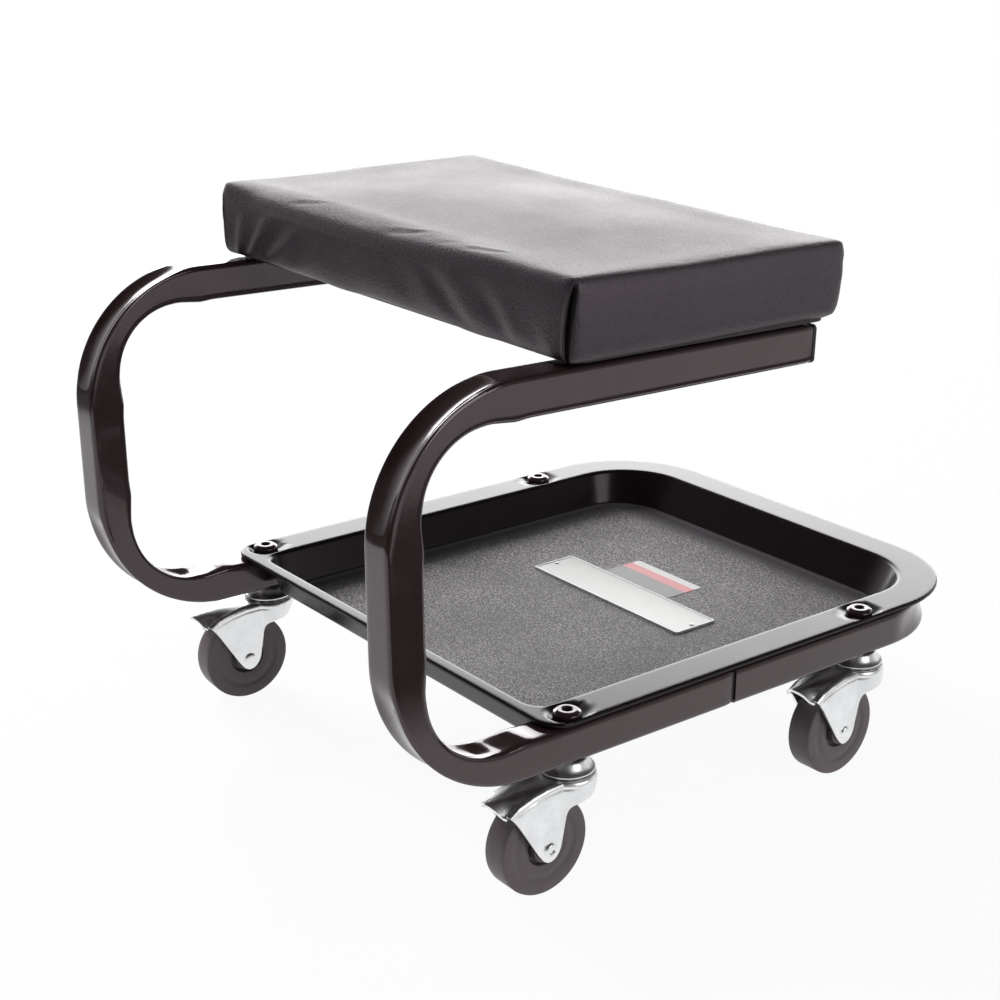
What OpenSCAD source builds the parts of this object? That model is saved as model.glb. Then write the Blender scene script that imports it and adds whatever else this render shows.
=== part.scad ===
// Creeper seat: a low workshop seat on four swivel casters, with a tool tray under it.
// Two C-shaped tube frames carry the cushion, and a U-shaped tube joins them at the rear.
// Millimetres. X runs to the sitter's left, -Y is the side of the posts, +Z is up.
// The origin is on the floor, at the centre of the overall box.

/* [Frame] */
// Width over both side frames
frame_w = 389; // [340:1:440]
// Length from the front of the posts to the back of the tray rim
seat_l = 536.6; // [500:0.2:600]
// Side of the square tube
tube = 25.4; // [22:0.2:30]
// Wall of the square tube
tube_wall = 1.5; // [1:0.1:2.5]
// Corner radius of the square tube
tube_corner = 3; // [2:0.5:5]
// Height of a side frame, from under its lower rail to its top corner
side_h = 260.9; // [240:0.1:320]
// Forward lean of the posts in degrees
post_lean = 1; // [0:0.25:3]
// Fall of the upper rails towards the rear in degrees
rail_fall = 1.35; // [0:0.15:3]
// Length of the upper rails, from the frame's top corner
upper_rail_l = 336; // [320:1:380]
// Length of the lower rails, from the frame's bottom corner to the joint
lower_rail_l = 273; // [250:1:300]
// Inside radius of the lower bends
lower_bend = 54; // [50:1:62]
// Outside radius of the flattened lower bends
lower_skin = 100; // [94:1:112]
// Inside radius of the upper bends
upper_bend = 45; // [42:1:54]
// Outside radius of the flattened upper bends
upper_skin = 90; // [84:1:104]
// Outside radius of the flattened rear bends
rear_skin = 97; // [92:1:108]
// Distance that the tray rim stands out behind the rear tube
rear_overhang = 3; // [0:0.5:8]
// Length of the sleeve inside each lower rail joint
sleeve_l = 88; // [60:1:120]

/* [Seat] */
// Distance that the cushion stands out beyond each side frame
cushion_overhang = 5.5; // [0:0.5:8]
// Depth of the cushion from front to rear at its fullest
cushion_d = 232; // [215:1:250]
// Height of the cushion at its upper edge
cushion_h = 54; // [48:1:66]
// Rise of the crown above the upper edge
crown_h = 7; // [3:0.5:12]
// Distance from the frame's top corner to the cushion's front
cushion_front = 128; // [120:0.1:160]
// Corner radius of the cushion in plan
cushion_corner = 10; // [6:1:26]
// Thickness of the cover
cover_t = 1.2; // [0.8:0.1:2]
// Thickness of the plywood board
board_t = 9; // [6:0.5:15]
// Distance from the cushion's front to the first seat bolt
seat_bolt_front = 40; // [30:1:55]
// Distance between the two seat bolts on a rail
seat_bolt_pitch = 130; // [100:1:140]
// Diameter of the seat bolts
seat_bolt_d = 6; // [5:0.5:8]

/* [Tray] */
// Distance from the front of the posts to the tray's front rim
tray_front = 120.4; // [112:0.2:130]
// Depth of the tray from rim to floor
tray_depth = 28; // [20:1:34]
// Thickness of the tray sheet
tray_t = 1.2; // [0.8:0.1:2]
// Height of the rim's upper face above the lower rails
rim_lift = 4; // [3:0.25:6]
// Height of the lip that is turned down round the rim
lip_h = 2.4; // [1.8:0.1:3]
// Width of the rim along the sides
rim_side = 29; // [28.5:0.5:36]
// Width of the rim at the front
rim_front = 11; // [9:0.5:16]
// Width of the rim at the rear
rim_rear = 28; // [28:0.5:36]
// Outer radius of the rim's rear corners
tray_rear_r = 82; // [70:1:90]
// Outer radius of the rim's front corners
tray_front_r = 18; // [14:1:24]
// Distance from the tray rim's rear edge to the middle of the badge plate
badge_from_rear = 191.6; // [170:0.2:210]
// Length of the badge plate
badge_l = 165; // [120:1:200]
// Width of the badge plate
badge_w = 39; // [25:1:50]
// Thickness of the badge plate
badge_t = 1.6; // [1:0.1:3]
// Length of the sticker
sticker_l = 72; // [50:1:90]
// Width of the sticker
sticker_w = 36; // [25:1:45]

/* [Casters] */
// Height of a caster, from the floor to the underside of the rail
caster_h = 87.3; // [84:0.1:92]
// Distance from the front of the posts to the front kingpins
caster_front = 143; // [138:0.2:160]
// Distance from the tray rim's rear edge to the rear kingpins
caster_rear = 122.4; // [112:0.2:140]
// Diameter of the wheels
wheel_d = 67.6; // [58:0.2:68]
// Width of the wheel's tread
wheel_w = 19; // [16:0.5:21]
// Distance from the kingpin back to the axle
trail = 23.8; // [21:0.2:28]
// Outside width of the yoke across its legs
yoke_w = 29.2; // [27:0.2:32]
// Thickness of the yoke's sheet
yoke_t = 2.2; // [1.8:0.1:2.6]
// Reach of the hood's tip from the kingpin
hood_reach = 66; // [60:0.5:70]
// Diameter of the yoke's race
race_d = 40; // [38:0.5:44]
// Diameter of the threaded stem
stem_d = 8; // [6:0.5:10]
// Diameter of the cap nut's head
nut_d = 18.6; // [16:0.2:20]
// Height of the cap nut's head
nut_h = 5.5; // [4:0.25:7]
// Turn of each caster from straight ahead in degrees: front left, front right, rear left, rear right
caster_turns = [-4.5, -0.5, 0, 1.5];

/* [Hidden] */
$fn = 96;

// One overrun serves every cut, and one gap every loose fit
over = 2;
fit_gap = 0.3;
// Radial clearance of a running fit
run_gap = 0.05;
// Bending draws the tube in by a hair, and the straight legs lap the bends
bend_draw = 0.05;
bend_lap = 0.5;
face_depth_share = 1.4;

// Frame, worked out in the side view: y runs to the rear, z up
front_y = -seat_l / 2;
rail_z = caster_h;
rail_top = rail_z + tube;
frame_x = (frame_w - tube) / 2;
lower_turn = 90 - post_lean;
upper_turn = 90 + post_lean + rail_fall;
// The foremost point of a side frame lies on the skin of its upper bend
top_corner_y = front_y + upper_skin - upper_skin * tan(upper_turn / 2) * cos(rail_fall)
    + upper_skin * sin(rail_fall);
top_corner_z = rail_z + side_h;
bottom_corner_y = top_corner_y + side_h * tan(post_lean);
post_l = side_h / cos(post_lean);
joint_y = bottom_corner_y + lower_rail_l;
rear_tube_y = seat_l / 2 - rear_overhang;

// Seat, measured along the upper rail from the frame's top corner
cushion_w = frame_w + 2 * cushion_overhang;
cushion_mid = cushion_front + cushion_d / 2;
seat_bolt_v = [cushion_front + seat_bolt_front, cushion_front + seat_bolt_front + seat_bolt_pitch];
board_inset = 8;
board_corner = 12;
wrap_w = 26;
board_low = cover_t;
board_top = board_low + board_t;
tee_flange_d = 3 * seat_bolt_d;
tee_flange_t = 1.2;
tee_barrel_d = 1.4 * seat_bolt_d;
seat_bolt_head_d = 2.1 * seat_bolt_d;
seat_bolt_head_h = 0.6 * seat_bolt_d;
// The bolt heads lie inside the tube, and a tool reaches them through holes in its lower wall
access_gap = 1.5;
access_d = seat_bolt_head_d + 2 * access_gap;
foam_gap = 0.2;
plug_flange_t = 2.4;
plug_body_l = 16;

// Cushion outline: how far each level stands in from the fullest width, over the height of the edge
side_level_share = [0, 0.05, 0.25, 0.55, 0.8, 0.93, 1];
side_inset_share = [1, 0.5, 0.1, 0, 0.15, 0.6, 1.6];
side_draw = 4;
crown_step_share = [0.82, 0.55, 0.25];
corner_steps = 6;

// Tray
rim_top = rail_top + rim_lift;
floor_top = rim_top - tray_depth;
tray_y0 = front_y + tray_front;
tray_y1 = seat_l / 2;
basin_front_r = tray_front_r - rim_front / 2;
// The basin's walls lean in by these lengths from the rim to the floor
wall_in_side = 8;
wall_in_front = 9;
wall_in_rear = 17;
dimple_d = 30;
barrel_d = 1.35 * stem_d;
badge_y = seat_l / 2 - badge_from_rear;
badge_x = 5.5;
badge_rim_w = 1.6;
badge_rim_h = 0.5;
badge_rivet_d = 3;
badge_rivet_h = 0.8;
badge_rivet_inset = 5;
sticker_x = -2.5;
sticker_gap = 2;
sticker_t = 0.3;
badge_corner = 2;

// Caster, measured down from the underside of the rail, with the trail towards -y
caster_y0 = front_y + caster_front;
caster_y1 = seat_l / 2 - caster_rear;
axle_z = -(caster_h - wheel_d / 2);
ball_r = 2.4;
ball_ring_r = 13.4;
ball_count = 12;
ball_z = -7.8;
plate_r = 18.2;
plate_top_r = 14;
plate_edge_h = 1.8;
ball_cover = 0.4;
race_cup = 1.6;
plate_low = ball_z + ball_cover;
race_top = ball_z - race_cup;
race_t = 2.8;
skirt_low = -15.5;
stem_short = 1;
kingpin_r = 6;
kingpin_head_r = 8.6;
kingpin_head_h = 2.6;
hood_corner_y = -54;
hood_corner_z = -25;
hood_tip_z = -14.8;
hood_flat_y = -16;
// Rear edge of a leg, from the axle: how far back and how far up
leg_back = [[19.8, 28.8], [13.5, 26.4], [11.6, 20.4], [10.6, 10.4], [9.4, 0]];
leg_end_r = 9.4;
leg_front_share = [0.82, 0.57];
axle_r = 3.2;
axle_head_r = 4.8;
axle_head_h = 1.6;
bush_r = 6;
leg_gap = yoke_w - 2 * yoke_t;
wheel_edge_r = 4;
hub_r = 12;
washer_t = 0.2;
hub_w = leg_gap - 2 * (fit_gap + washer_t);
face_recess = 1.2;
face_ring_r0 = 15.5;
face_ring_r1 = 24;

steel = [0.10, 0.09, 0.09];
zinc = [0.80, 0.81, 0.82];

// Half of the tube's section: x is measured in from one face, y runs across it
module half_section(w, corner) {
    depth = tube * face_depth_share;
    translate([corner, -w / 2]) square([depth - corner, w]);
    translate([0, corner - w / 2]) square([corner + depth / 2, w - 2 * corner]);
    for (s = [-1, 1]) translate([corner, s * (w / 2 - corner)]) circle(corner);
}

// A bent bar is the overlap of its outer skin and its inner one, so that a bend can be flattened.
// It is drawn flat: the first leg leaves the first corner along x, the middle leg joins the two
// corners, and the last leg leaves the second one. The corners are those of the outer faces.
// side is 0 for the outer skin and 1 for the inner one; inset shrinks the bar on every face.
module skin_leg(side, from, to, inset) {
    translate([from, side == 0 ? inset : tube - inset, 0]) mirror([0, side, 0]) rotate([90, 0, 90])
        linear_extrude(to - from) half_section(tube - 2 * inset, tube_corner - min(inset, tube_corner / 2));
}
module skin_arc(side, turn, r, inset) {
    drawn = inset + bend_draw;
    centre = r + side * tube;
    translate([centre * tan(turn / 2), centre, 0]) rotate([0, 0, -90 - turn]) rotate_extrude(angle = turn)
        translate([side == 0 ? r - drawn : r + drawn, 0]) mirror([1 - side, 0])
        half_section(tube - 2 * drawn, tube_corner - min(inset, tube_corner / 2));
}
module bar_skin(side, turns, r, legs, inset, run_on) {
    reach = [for (i = [0, 1]) (r[i] + side * tube) * tan(turns[i] / 2) - bend_lap];
    skin_leg(side, reach[0], legs[0] + run_on, inset);
    skin_arc(side, turns[0], r[0], inset);
    rotate([0, 0, 180 - turns[0]]) mirror([0, 1, 0]) skin_leg(side, reach[0], legs[1] - reach[1], inset);
    translate(legs[1] * [cos(180 - turns[0]), sin(180 - turns[0]), 0])
        rotate([0, 0, 180 - turns[0] - turns[1]]) mirror([0, 1, 0]) {
        skin_leg(side, reach[1], legs[2] + run_on, inset);
        skin_arc(side, turns[1], r[1], inset);
    }
}
module bent_bar(turns, skins, cores, legs, inset = 0) {
    run_on = inset > 0 ? over : 0;
    intersection() {
        union() bar_skin(0, turns, skins, legs, inset, run_on);
        union() bar_skin(1, turns, cores, legs, inset, run_on + over);
    }
}

// Stands a shape drawn in the side view (x to the rear, y up) in the plane of the side frame
module side_view(x) { translate([x, 0, 0]) rotate([90, 0, 90]) children(); }

// The upper rail's own axes: y along the rail's top face from the top corner, z square to it
module on_upper_rail() {
    translate([0, top_corner_y, top_corner_z]) rotate([-rail_fall, 0, 0]) children();
}

module side_bar(x, inset = 0) {
    side_view(x) translate([bottom_corner_y, rail_z, 0]) bent_bar([lower_turn, upper_turn],
        [lower_skin, upper_skin], [lower_bend, upper_bend], [lower_rail_l, post_l, upper_rail_l], inset);
}

// Holes for a caster's stem and for the cap nut's barrel, in the floor and roof of a lower rail
module stem_holes(x, y) {
    translate([x, y, rail_z - over]) cylinder(d = stem_d + 2 * fit_gap, h = tube / 2 + over);
    translate([x, y, rail_z + tube / 2]) cylinder(d = barrel_d + 2 * fit_gap, h = tube / 2 + over);
}

module side_frame(x) {
    color(steel) difference() {
        side_bar(x);
        side_bar(x, tube_wall);
        stem_holes(x, caster_y0);
        on_upper_rail() for (v = seat_bolt_v) translate([x, v, 0]) {
            translate([0, 0, -tube / 2]) cylinder(d = seat_bolt_d + 2 * fit_gap, h = tube / 2 + over);
            translate([0, 0, -tube - over]) cylinder(d = access_d, h = tube / 2 + over);
        }
    }
}
module left_side_frame() { side_frame(-frame_x); }
module right_side_frame() { side_frame(frame_x); }

module rear_bar(inset = 0) {
    translate([frame_w / 2, rear_tube_y, rail_z + tube / 2]) rotate([0, 0, -90]) mirror([0, 1, 0])
        bent_bar([90, 90], [rear_skin, rear_skin], [lower_bend, lower_bend],
            [rear_tube_y - joint_y, frame_w, rear_tube_y - joint_y], inset);
}
module rear_tube() {
    color(steel) difference() {
        rear_bar();
        rear_bar(tube_wall);
        for (s = [-1, 1]) stem_holes(s * frame_x, caster_y1);
    }
}

// Square bar with its corners cut, along y, centred on x and z
module square_bar(side, l, r) {
    rotate([90, 0, 0]) translate([0, 0, -l]) linear_extrude(l) {
        square([side - 2 * r, side], center = true);
        square([side, side - 2 * r], center = true);
        for (a = [-1, 1], b = [-1, 1]) translate([a, b] * (side / 2 - r)) circle(r);
    }
}
sleeve_side = tube - 2 * tube_wall - 2 * foam_gap;
module joint_sleeves() {
    color([0.5, 0.5, 0.5]) for (s = [-1, 1]) translate([s * frame_x, joint_y - sleeve_l / 2, rail_z + tube / 2])
        difference() {
            square_bar(sleeve_side, sleeve_l, tube_corner / 2);
            translate([0, -over, 0]) square_bar(sleeve_side - 2 * tube_wall, sleeve_l + 2 * over, tube_corner / 2);
        }
}
module rail_end_plugs() {
    color([0.06, 0.06, 0.06]) on_upper_rail() for (s = [-1, 1]) translate([s * frame_x, upper_rail_l, -tube / 2]) {
        square_bar(tube, plug_flange_t, tube_corner);
        translate([0, -plug_body_l, 0]) square_bar(sleeve_side, plug_body_l, tube_corner / 2);
    }
}

// Points of a rounded rectangle with half sides a and b at height z
function ring(a, b, r, z) = [
    for (q = [0:3], k = [0:corner_steps - 1])
        let (ang = 90 * q + 90 * k / (corner_steps - 1), sx = q == 0 || q == 3 ? 1 : -1, sy = q < 2 ? 1 : -1)
        [sx * (a - r) + r * cos(ang), sy * (b - r) + r * sin(ang), z]
];
// Levels of the cushion, pulled in on every face by skin
function cushion_rings(skin) =
    let (a = cushion_w / 2 - skin, b = cushion_d / 2 - skin, h = cushion_h - 2 * skin,
         top_in = side_draw * side_inset_share[len(side_inset_share) - 1])
    concat(
        [for (i = [0:len(side_level_share) - 1])
            let (d = side_draw * side_inset_share[i])
            ring(a - d, b - d, cushion_corner - min(d, cushion_corner / 3), skin + h * side_level_share[i])],
        [for (s = crown_step_share)
            ring((a - top_in) * s, (b - top_in) * s, cushion_corner * s, skin + h + crown_h * (1 - s * s))]
    );
module lofted(rings) {
    n = len(rings[0]);
    m = len(rings);
    top = [0, 0, rings[m - 1][0][2] + crown_h * crown_step_share[len(crown_step_share) - 1] / 4];
    points = concat([for (r = rings, p = r) p], [[0, 0, rings[0][0][2]], top]);
    faces = concat(
        [for (j = [0:m - 2], i = [0:n - 1]) let (k = (i + 1) % n) [j * n + i, (j + 1) * n + i, j * n + k]],
        [for (j = [0:m - 2], i = [0:n - 1]) let (k = (i + 1) % n) [j * n + k, (j + 1) * n + i, (j + 1) * n + k]],
        [for (i = [0:n - 1]) [m * n, i, (i + 1) % n]],
        [for (i = [0:n - 1]) [m * n + 1, (m - 1) * n + (i + 1) % n, (m - 1) * n + i]]
    );
    polyhedron(points, faces);
}
// Plate with rounded corners, half sides a and b
module rounded_plate(a, b, r, t) {
    linear_extrude(t) {
        square([2 * (a - r), 2 * b], center = true);
        square([2 * a, 2 * (b - r)], center = true);
        for (p = [-1, 1], q = [-1, 1]) translate([p * (a - r), q * (b - r)]) circle(r);
    }
}
board_a = cushion_w / 2 - board_inset;
board_b = cushion_d / 2 - board_inset;
module on_seat() { on_upper_rail() translate([0, cushion_mid, 0]) children(); }
module at_seat_bolts() {
    for (s = [-1, 1], v = seat_bolt_v) translate([s * frame_x, v - cushion_mid, 0]) children();
}
module seat_cover() {
    color([0.16, 0.16, 0.17]) on_seat() difference() {
        lofted(cushion_rings(0));
        lofted(cushion_rings(cover_t));
        translate([0, 0, -over]) rounded_plate(board_a - wrap_w, board_b - wrap_w, board_corner, 2 * over);
        at_seat_bolts() translate([0, 0, -over]) cylinder(d = seat_bolt_d + 2 * fit_gap, h = 2 * over);
    }
}
module seat_foam() {
    color([0.85, 0.80, 0.60]) on_seat() difference() {
        lofted(cushion_rings(cover_t + foam_gap));
        rounded_plate(cushion_w, cushion_d, board_corner, board_top + foam_gap);
        at_seat_bolts() cylinder(d = tee_flange_d + 2 * fit_gap, h = board_top + tee_flange_t + fit_gap);
    }
}
module seat_board() {
    color([0.72, 0.56, 0.36]) on_seat() difference() {
        translate([0, 0, board_low]) rounded_plate(board_a, board_b, board_corner, board_t);
        at_seat_bolts() cylinder(d = tee_barrel_d + 2 * run_gap, h = board_top + over);
    }
}
module seat_tee_nuts() {
    color(zinc) on_seat() at_seat_bolts() difference() {
        union() {
            translate([0, 0, board_top]) cylinder(d = tee_flange_d, h = tee_flange_t);
            translate([0, 0, board_low + fit_gap]) cylinder(d = tee_barrel_d, h = board_t);
        }
        cylinder(d = seat_bolt_d + 2 * run_gap, h = board_top + tee_flange_t + over);
    }
}
module seat_bolts() {
    color(zinc) on_seat() at_seat_bolts() {
        translate([0, 0, -tube_wall]) cylinder(d = seat_bolt_d, h = tube_wall + board_top);
        translate([0, 0, -tube_wall - seat_bolt_head_h]) cylinder(d = seat_bolt_head_d, h = seat_bolt_head_h);
    }
}

// Plan of the tray at a distance d in from the rim's edge at the sides, f at the front and r at the rear
module tray_plan(d, f, r, front_r, rear_r) {
    a = frame_w / 2 - d;
    y0 = tray_y0 + f;
    y1 = tray_y1 - r;
    translate([-a, y0 + front_r]) square([2 * a, y1 - rear_r - y0 - front_r]);
    translate([front_r - a, y0]) square([2 * (a - front_r), front_r + over]);
    translate([rear_r - a, y1 - rear_r - over]) square([2 * (a - rear_r), rear_r + over]);
    for (s = [-1, 1]) {
        translate([s * (a - front_r), y0 + front_r]) circle(front_r);
        translate([s * (a - rear_r), y1 - rear_r]) circle(rear_r);
    }
}
module outer_plan(d) { tray_plan(d, d, d, tray_front_r - d, tray_rear_r - d); }
module basin_plan(d) {
    tray_plan(rim_side + d, rim_front + d, rim_rear + d, basin_front_r - d, tray_rear_r - rim_rear - d);
}
// The basin's bulk, larger by d all round, with its upper end raised by rise
module basin(d, rise) {
    a = frame_w / 2 - rim_side + d;
    y0 = tray_y0 + rim_front - d;
    y1 = tray_y1 - rim_rear + d;
    low = floor_top - d;
    high = rim_top + rise;
    intersection() {
        translate([0, 0, low]) linear_extrude(high - low) basin_plan(-d);
        translate([0, y1 + over, 0]) rotate([90, 0, 0]) linear_extrude(y1 - y0 + 2 * over)
            polygon([[wall_in_side - a, low], [a - wall_in_side, low], [a, rim_top], [a, high], [-a, high],
                [-a, rim_top]]);
        rotate([90, 0, 90]) linear_extrude(frame_w, center = true)
            polygon([[y0 + wall_in_front, low], [y1 - wall_in_rear, low], [y1, rim_top], [y1, high], [y0, high],
                [y0, rim_top]]);
    }
}
module at_casters() {
    for (s = [-1, 1], y = [caster_y0, caster_y1]) translate([s * frame_x, y, 0]) children();
}
module tray() {
    color([0.13, 0.12, 0.12]) difference() {
        union() {
            translate([0, 0, rim_top - lip_h]) linear_extrude(lip_h) outer_plan(0);
            basin(tray_t, 0);
            intersection() {
                at_casters() translate([0, 0, rail_top]) cylinder(d = dimple_d, h = rim_lift);
                translate([0, 0, rail_top]) linear_extrude(rim_lift) outer_plan(tray_t);
            }
        }
        translate([0, 0, rim_top - lip_h - over]) linear_extrude(lip_h + over - tray_t) difference() {
            outer_plan(tray_t);
            basin_plan(-tray_t);
            at_casters() circle(d = dimple_d);
        }
        basin(0, over);
        at_casters() translate([0, 0, rail_top + tray_t])
            cylinder(d = dimple_d - 2 * tray_t, h = rim_lift + over);
        at_casters() translate([0, 0, rail_top - over])
            cylinder(d = barrel_d + 2 * fit_gap, h = rim_lift + 2 * over);
    }
}
nut_z = rail_top + tray_t;
barrel_depth_share = 0.6;
barrel_l = tube * barrel_depth_share;
nut_socket_d = 0.28 * nut_d;
nut_edge = 1;
module tray_cap_nuts() {
    color([0.07, 0.07, 0.07]) at_casters() translate([0, 0, nut_z]) difference() {
        union() {
            cylinder(d = nut_d, h = nut_h - nut_edge);
            cylinder(d = nut_d - 2 * nut_edge, h = nut_h);
            translate([0, 0, -barrel_l]) cylinder(d = barrel_d, h = barrel_l + nut_edge);
        }
        translate([0, 0, -barrel_l - over]) cylinder(d = stem_d + 2 * run_gap, h = barrel_l + over);
        translate([0, 0, nut_h / 3]) cylinder(d = nut_socket_d, h = nut_h);
    }
}
module badge_plate() {
    color([0.88, 0.88, 0.88]) translate([badge_x, badge_y, floor_top]) difference() {
        rounded_plate(badge_l / 2, badge_w / 2, badge_corner, badge_t);
        translate([0, 0, badge_t - badge_rim_h]) rounded_plate(badge_l / 2 - badge_rim_w,
            badge_w / 2 - badge_rim_w, badge_corner / 2, badge_rim_h + over);
    }
}
module badge_rivets() {
    color(zinc) for (s = [-1, 1]) translate([badge_x + s * (badge_l / 2 - badge_rivet_inset), badge_y,
        floor_top + badge_t - badge_rim_h]) cylinder(d = badge_rivet_d, h = badge_rivet_h);
}
module tray_sticker() {
    color([0.86, 0.85, 0.84]) translate([sticker_x, badge_y + badge_w / 2 + sticker_gap + sticker_w / 2,
        floor_top]) rounded_plate(sticker_l / 2, sticker_w / 2, badge_corner, sticker_t);
}

// Casters. Each is drawn about its kingpin, down from the underside of the rail.
module at_caster(i) {
    x = i % 2 == 0 ? -frame_x : frame_x;
    y = i < 2 ? caster_y0 : caster_y1;
    translate([x, y, rail_z]) rotate([0, 0, caster_turns[i]]) children();
}
module caster_stems() {
    color(zinc) for (i = [0:3]) at_caster(i) {
        cylinder(d = stem_d, h = tube + tray_t - stem_short);
        translate([0, 0, race_top - race_t - fit_gap]) cylinder(r = kingpin_r, h = race_t + fit_gap - race_top);
        translate([0, 0, race_top - race_t - fit_gap - kingpin_head_h])
            cylinder(r = kingpin_head_r, h = kingpin_head_h);
    }
}
module caster_top_plates() {
    color(zinc) for (i = [0:3]) at_caster(i) difference() {
        rotate_extrude() polygon([[kingpin_r + run_gap, 0], [plate_top_r, 0], [plate_r, plate_low + plate_edge_h],
            [plate_r, plate_low], [kingpin_r + run_gap, plate_low]]);
        translate([0, 0, ball_z]) rotate_extrude() translate([ball_ring_r, 0]) circle(ball_r + fit_gap, $fn = 48);
    }
}
module caster_balls() {
    color([0.75, 0.76, 0.78]) for (i = [0:3]) at_caster(i) for (k = [0:ball_count - 1])
        rotate([0, 0, 360 * k / ball_count]) translate([ball_ring_r, 0, ball_z]) sphere(ball_r, $fn = 24);
}

// Plan of the yoke at a distance d in from its outside
module yoke_plan(d) {
    circle(d = race_d - 2 * d);
    polygon([[d - yoke_w / 2, 0], [d - yoke_w / 2, hood_corner_y], [0, d - hood_reach],
        [yoke_w / 2 - d, hood_corner_y], [yoke_w / 2 - d, 0]]);
}
// Side view of the yoke, x to the rear and y up; the hood falls from the race to its tip
module yoke_side() {
    polygon(concat(
        [[race_d / 2, race_top], [hood_flat_y, race_top], [-hood_reach, hood_tip_z],
            [-hood_reach, hood_tip_z - yoke_t], [hood_corner_y, hood_corner_z],
            [-trail - leg_end_r * leg_front_share[0], axle_z - leg_end_r * leg_front_share[1]],
            [-trail, axle_z - leg_end_r * leg_front_share[1]]],
        [for (i = [len(leg_back) - 1:-1:0]) [leg_back[i][0] - trail, leg_back[i][1] + axle_z]],
        [[race_d / 2, skirt_low]]
    ));
    translate([-trail, axle_z]) circle(leg_end_r);
}
// Everything under the sheet of the hood and race, between the legs
module yoke_hollow() {
    intersection() {
        translate([0, 0, -caster_h]) linear_extrude(caster_h) {
            yoke_plan(yoke_t);
            translate([-yoke_w / 2 - over, -hood_reach - over])
                square([yoke_w + 2 * over, hood_reach + hood_corner_y + over]);
        }
        rotate([90, 0, 90]) linear_extrude(race_d + 2 * over, center = true) polygon([
            [race_d / 2 + over, race_top - race_t], [hood_flat_y, race_top - race_t],
            [-hood_reach - over, hood_tip_z - yoke_t], [-hood_reach - over, -caster_h], [race_d / 2 + over, -caster_h]
        ]);
    }
}
module yoke(i) {
    color(zinc) at_caster(i) difference() {
        intersection() {
            translate([0, 0, -caster_h]) linear_extrude(caster_h) yoke_plan(0);
            rotate([90, 0, 90]) linear_extrude(race_d + 2 * over, center = true) yoke_side();
        }
        yoke_hollow();
        translate([0, 0, -caster_h / 2]) cylinder(r = kingpin_r + run_gap, h = caster_h / 2);
        translate([0, 0, ball_z]) rotate_extrude() translate([ball_ring_r, 0]) circle(ball_r + fit_gap, $fn = 48);
        translate([0, -trail, axle_z]) rotate([0, 90, 0])
            cylinder(r = axle_r + run_gap, h = yoke_w + 2 * over, center = true);
    }
}
module yoke_front_left() { yoke(0); }
module yoke_front_right() { yoke(1); }
module yoke_rear_left() { yoke(2); }
module yoke_rear_right() { yoke(3); }

module on_axle(i) { at_caster(i) translate([0, -trail, axle_z]) rotate([0, 90, 0]) children(); }
module axle(i) {
    color(zinc) on_axle(i) {
        cylinder(r = axle_r, h = yoke_w, center = true);
        for (s = [0, 1]) mirror([0, 0, s]) translate([0, 0, yoke_w / 2]) {
            cylinder(r = axle_head_r, h = axle_head_h / 2);
            cylinder(r = axle_head_r * 0.8, h = axle_head_h);
        }
    }
}
module axle_front_left() { axle(0); }
module axle_front_right() { axle(1); }
module axle_rear_left() { axle(2); }
module axle_rear_right() { axle(3); }

module bush(i) {
    color([0.6, 0.6, 0.6]) on_axle(i) difference() {
        cylinder(r = bush_r, h = leg_gap, center = true);
        cylinder(r = axle_r + run_gap, h = leg_gap + over, center = true);
    }
}
module bush_front_left() { bush(0); }
module bush_front_right() { bush(1); }
module bush_rear_left() { bush(2); }
module bush_rear_right() { bush(3); }

module wheel(i) {
    r = wheel_d / 2;
    color([0.24, 0.23, 0.23]) on_axle(i) difference() {
        rotate_extrude() {
            translate([0, wheel_edge_r - wheel_w / 2]) square([r, wheel_w - 2 * wheel_edge_r]);
            translate([0, -wheel_w / 2]) square([r - wheel_edge_r, wheel_w]);
            for (s = [-1, 1]) translate([r - wheel_edge_r, s * (wheel_w / 2 - wheel_edge_r)]) circle(wheel_edge_r);
            translate([0, -hub_w / 2]) square([hub_r, hub_w]);
        }
        cylinder(r = bush_r + run_gap, h = hub_w + over, center = true);
        for (s = [0, 1]) mirror([0, 0, s]) translate([0, 0, wheel_w / 2 - face_recess]) difference() {
            cylinder(r = face_ring_r1, h = face_recess + over);
            translate([0, 0, -over]) cylinder(r = face_ring_r0, h = face_recess + 3 * over);
        }
    }
}
module wheel_front_left() { wheel(0); }
module wheel_front_right() { wheel(1); }
module wheel_rear_left() { wheel(2); }
module wheel_rear_right() { wheel(3); }

left_side_frame();
right_side_frame();
rear_tube();
joint_sleeves();
rail_end_plugs();
seat_cover();
seat_foam();
seat_board();
seat_tee_nuts();
seat_bolts();
tray();
tray_cap_nuts();
badge_plate();
badge_rivets();
tray_sticker();
caster_stems();
caster_top_plates();
caster_balls();
yoke_front_left();
yoke_front_right();
yoke_rear_left();
yoke_rear_right();
axle_front_left();
axle_front_right();
axle_rear_left();
axle_rear_right();
bush_front_left();
bush_front_right();
bush_rear_left();
bush_rear_right();
wheel_front_left();
wheel_front_right();
wheel_rear_left();
wheel_rear_right();
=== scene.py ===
"""Creeper seat: the looks of a low workshop seat on casters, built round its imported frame."""

import math
from collections import Counter
from itertools import product

import bpy
import numpy as np
from bpy.props import FloatProperty, FloatVectorProperty, PointerProperty
from mathutils import Matrix, Vector


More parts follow.
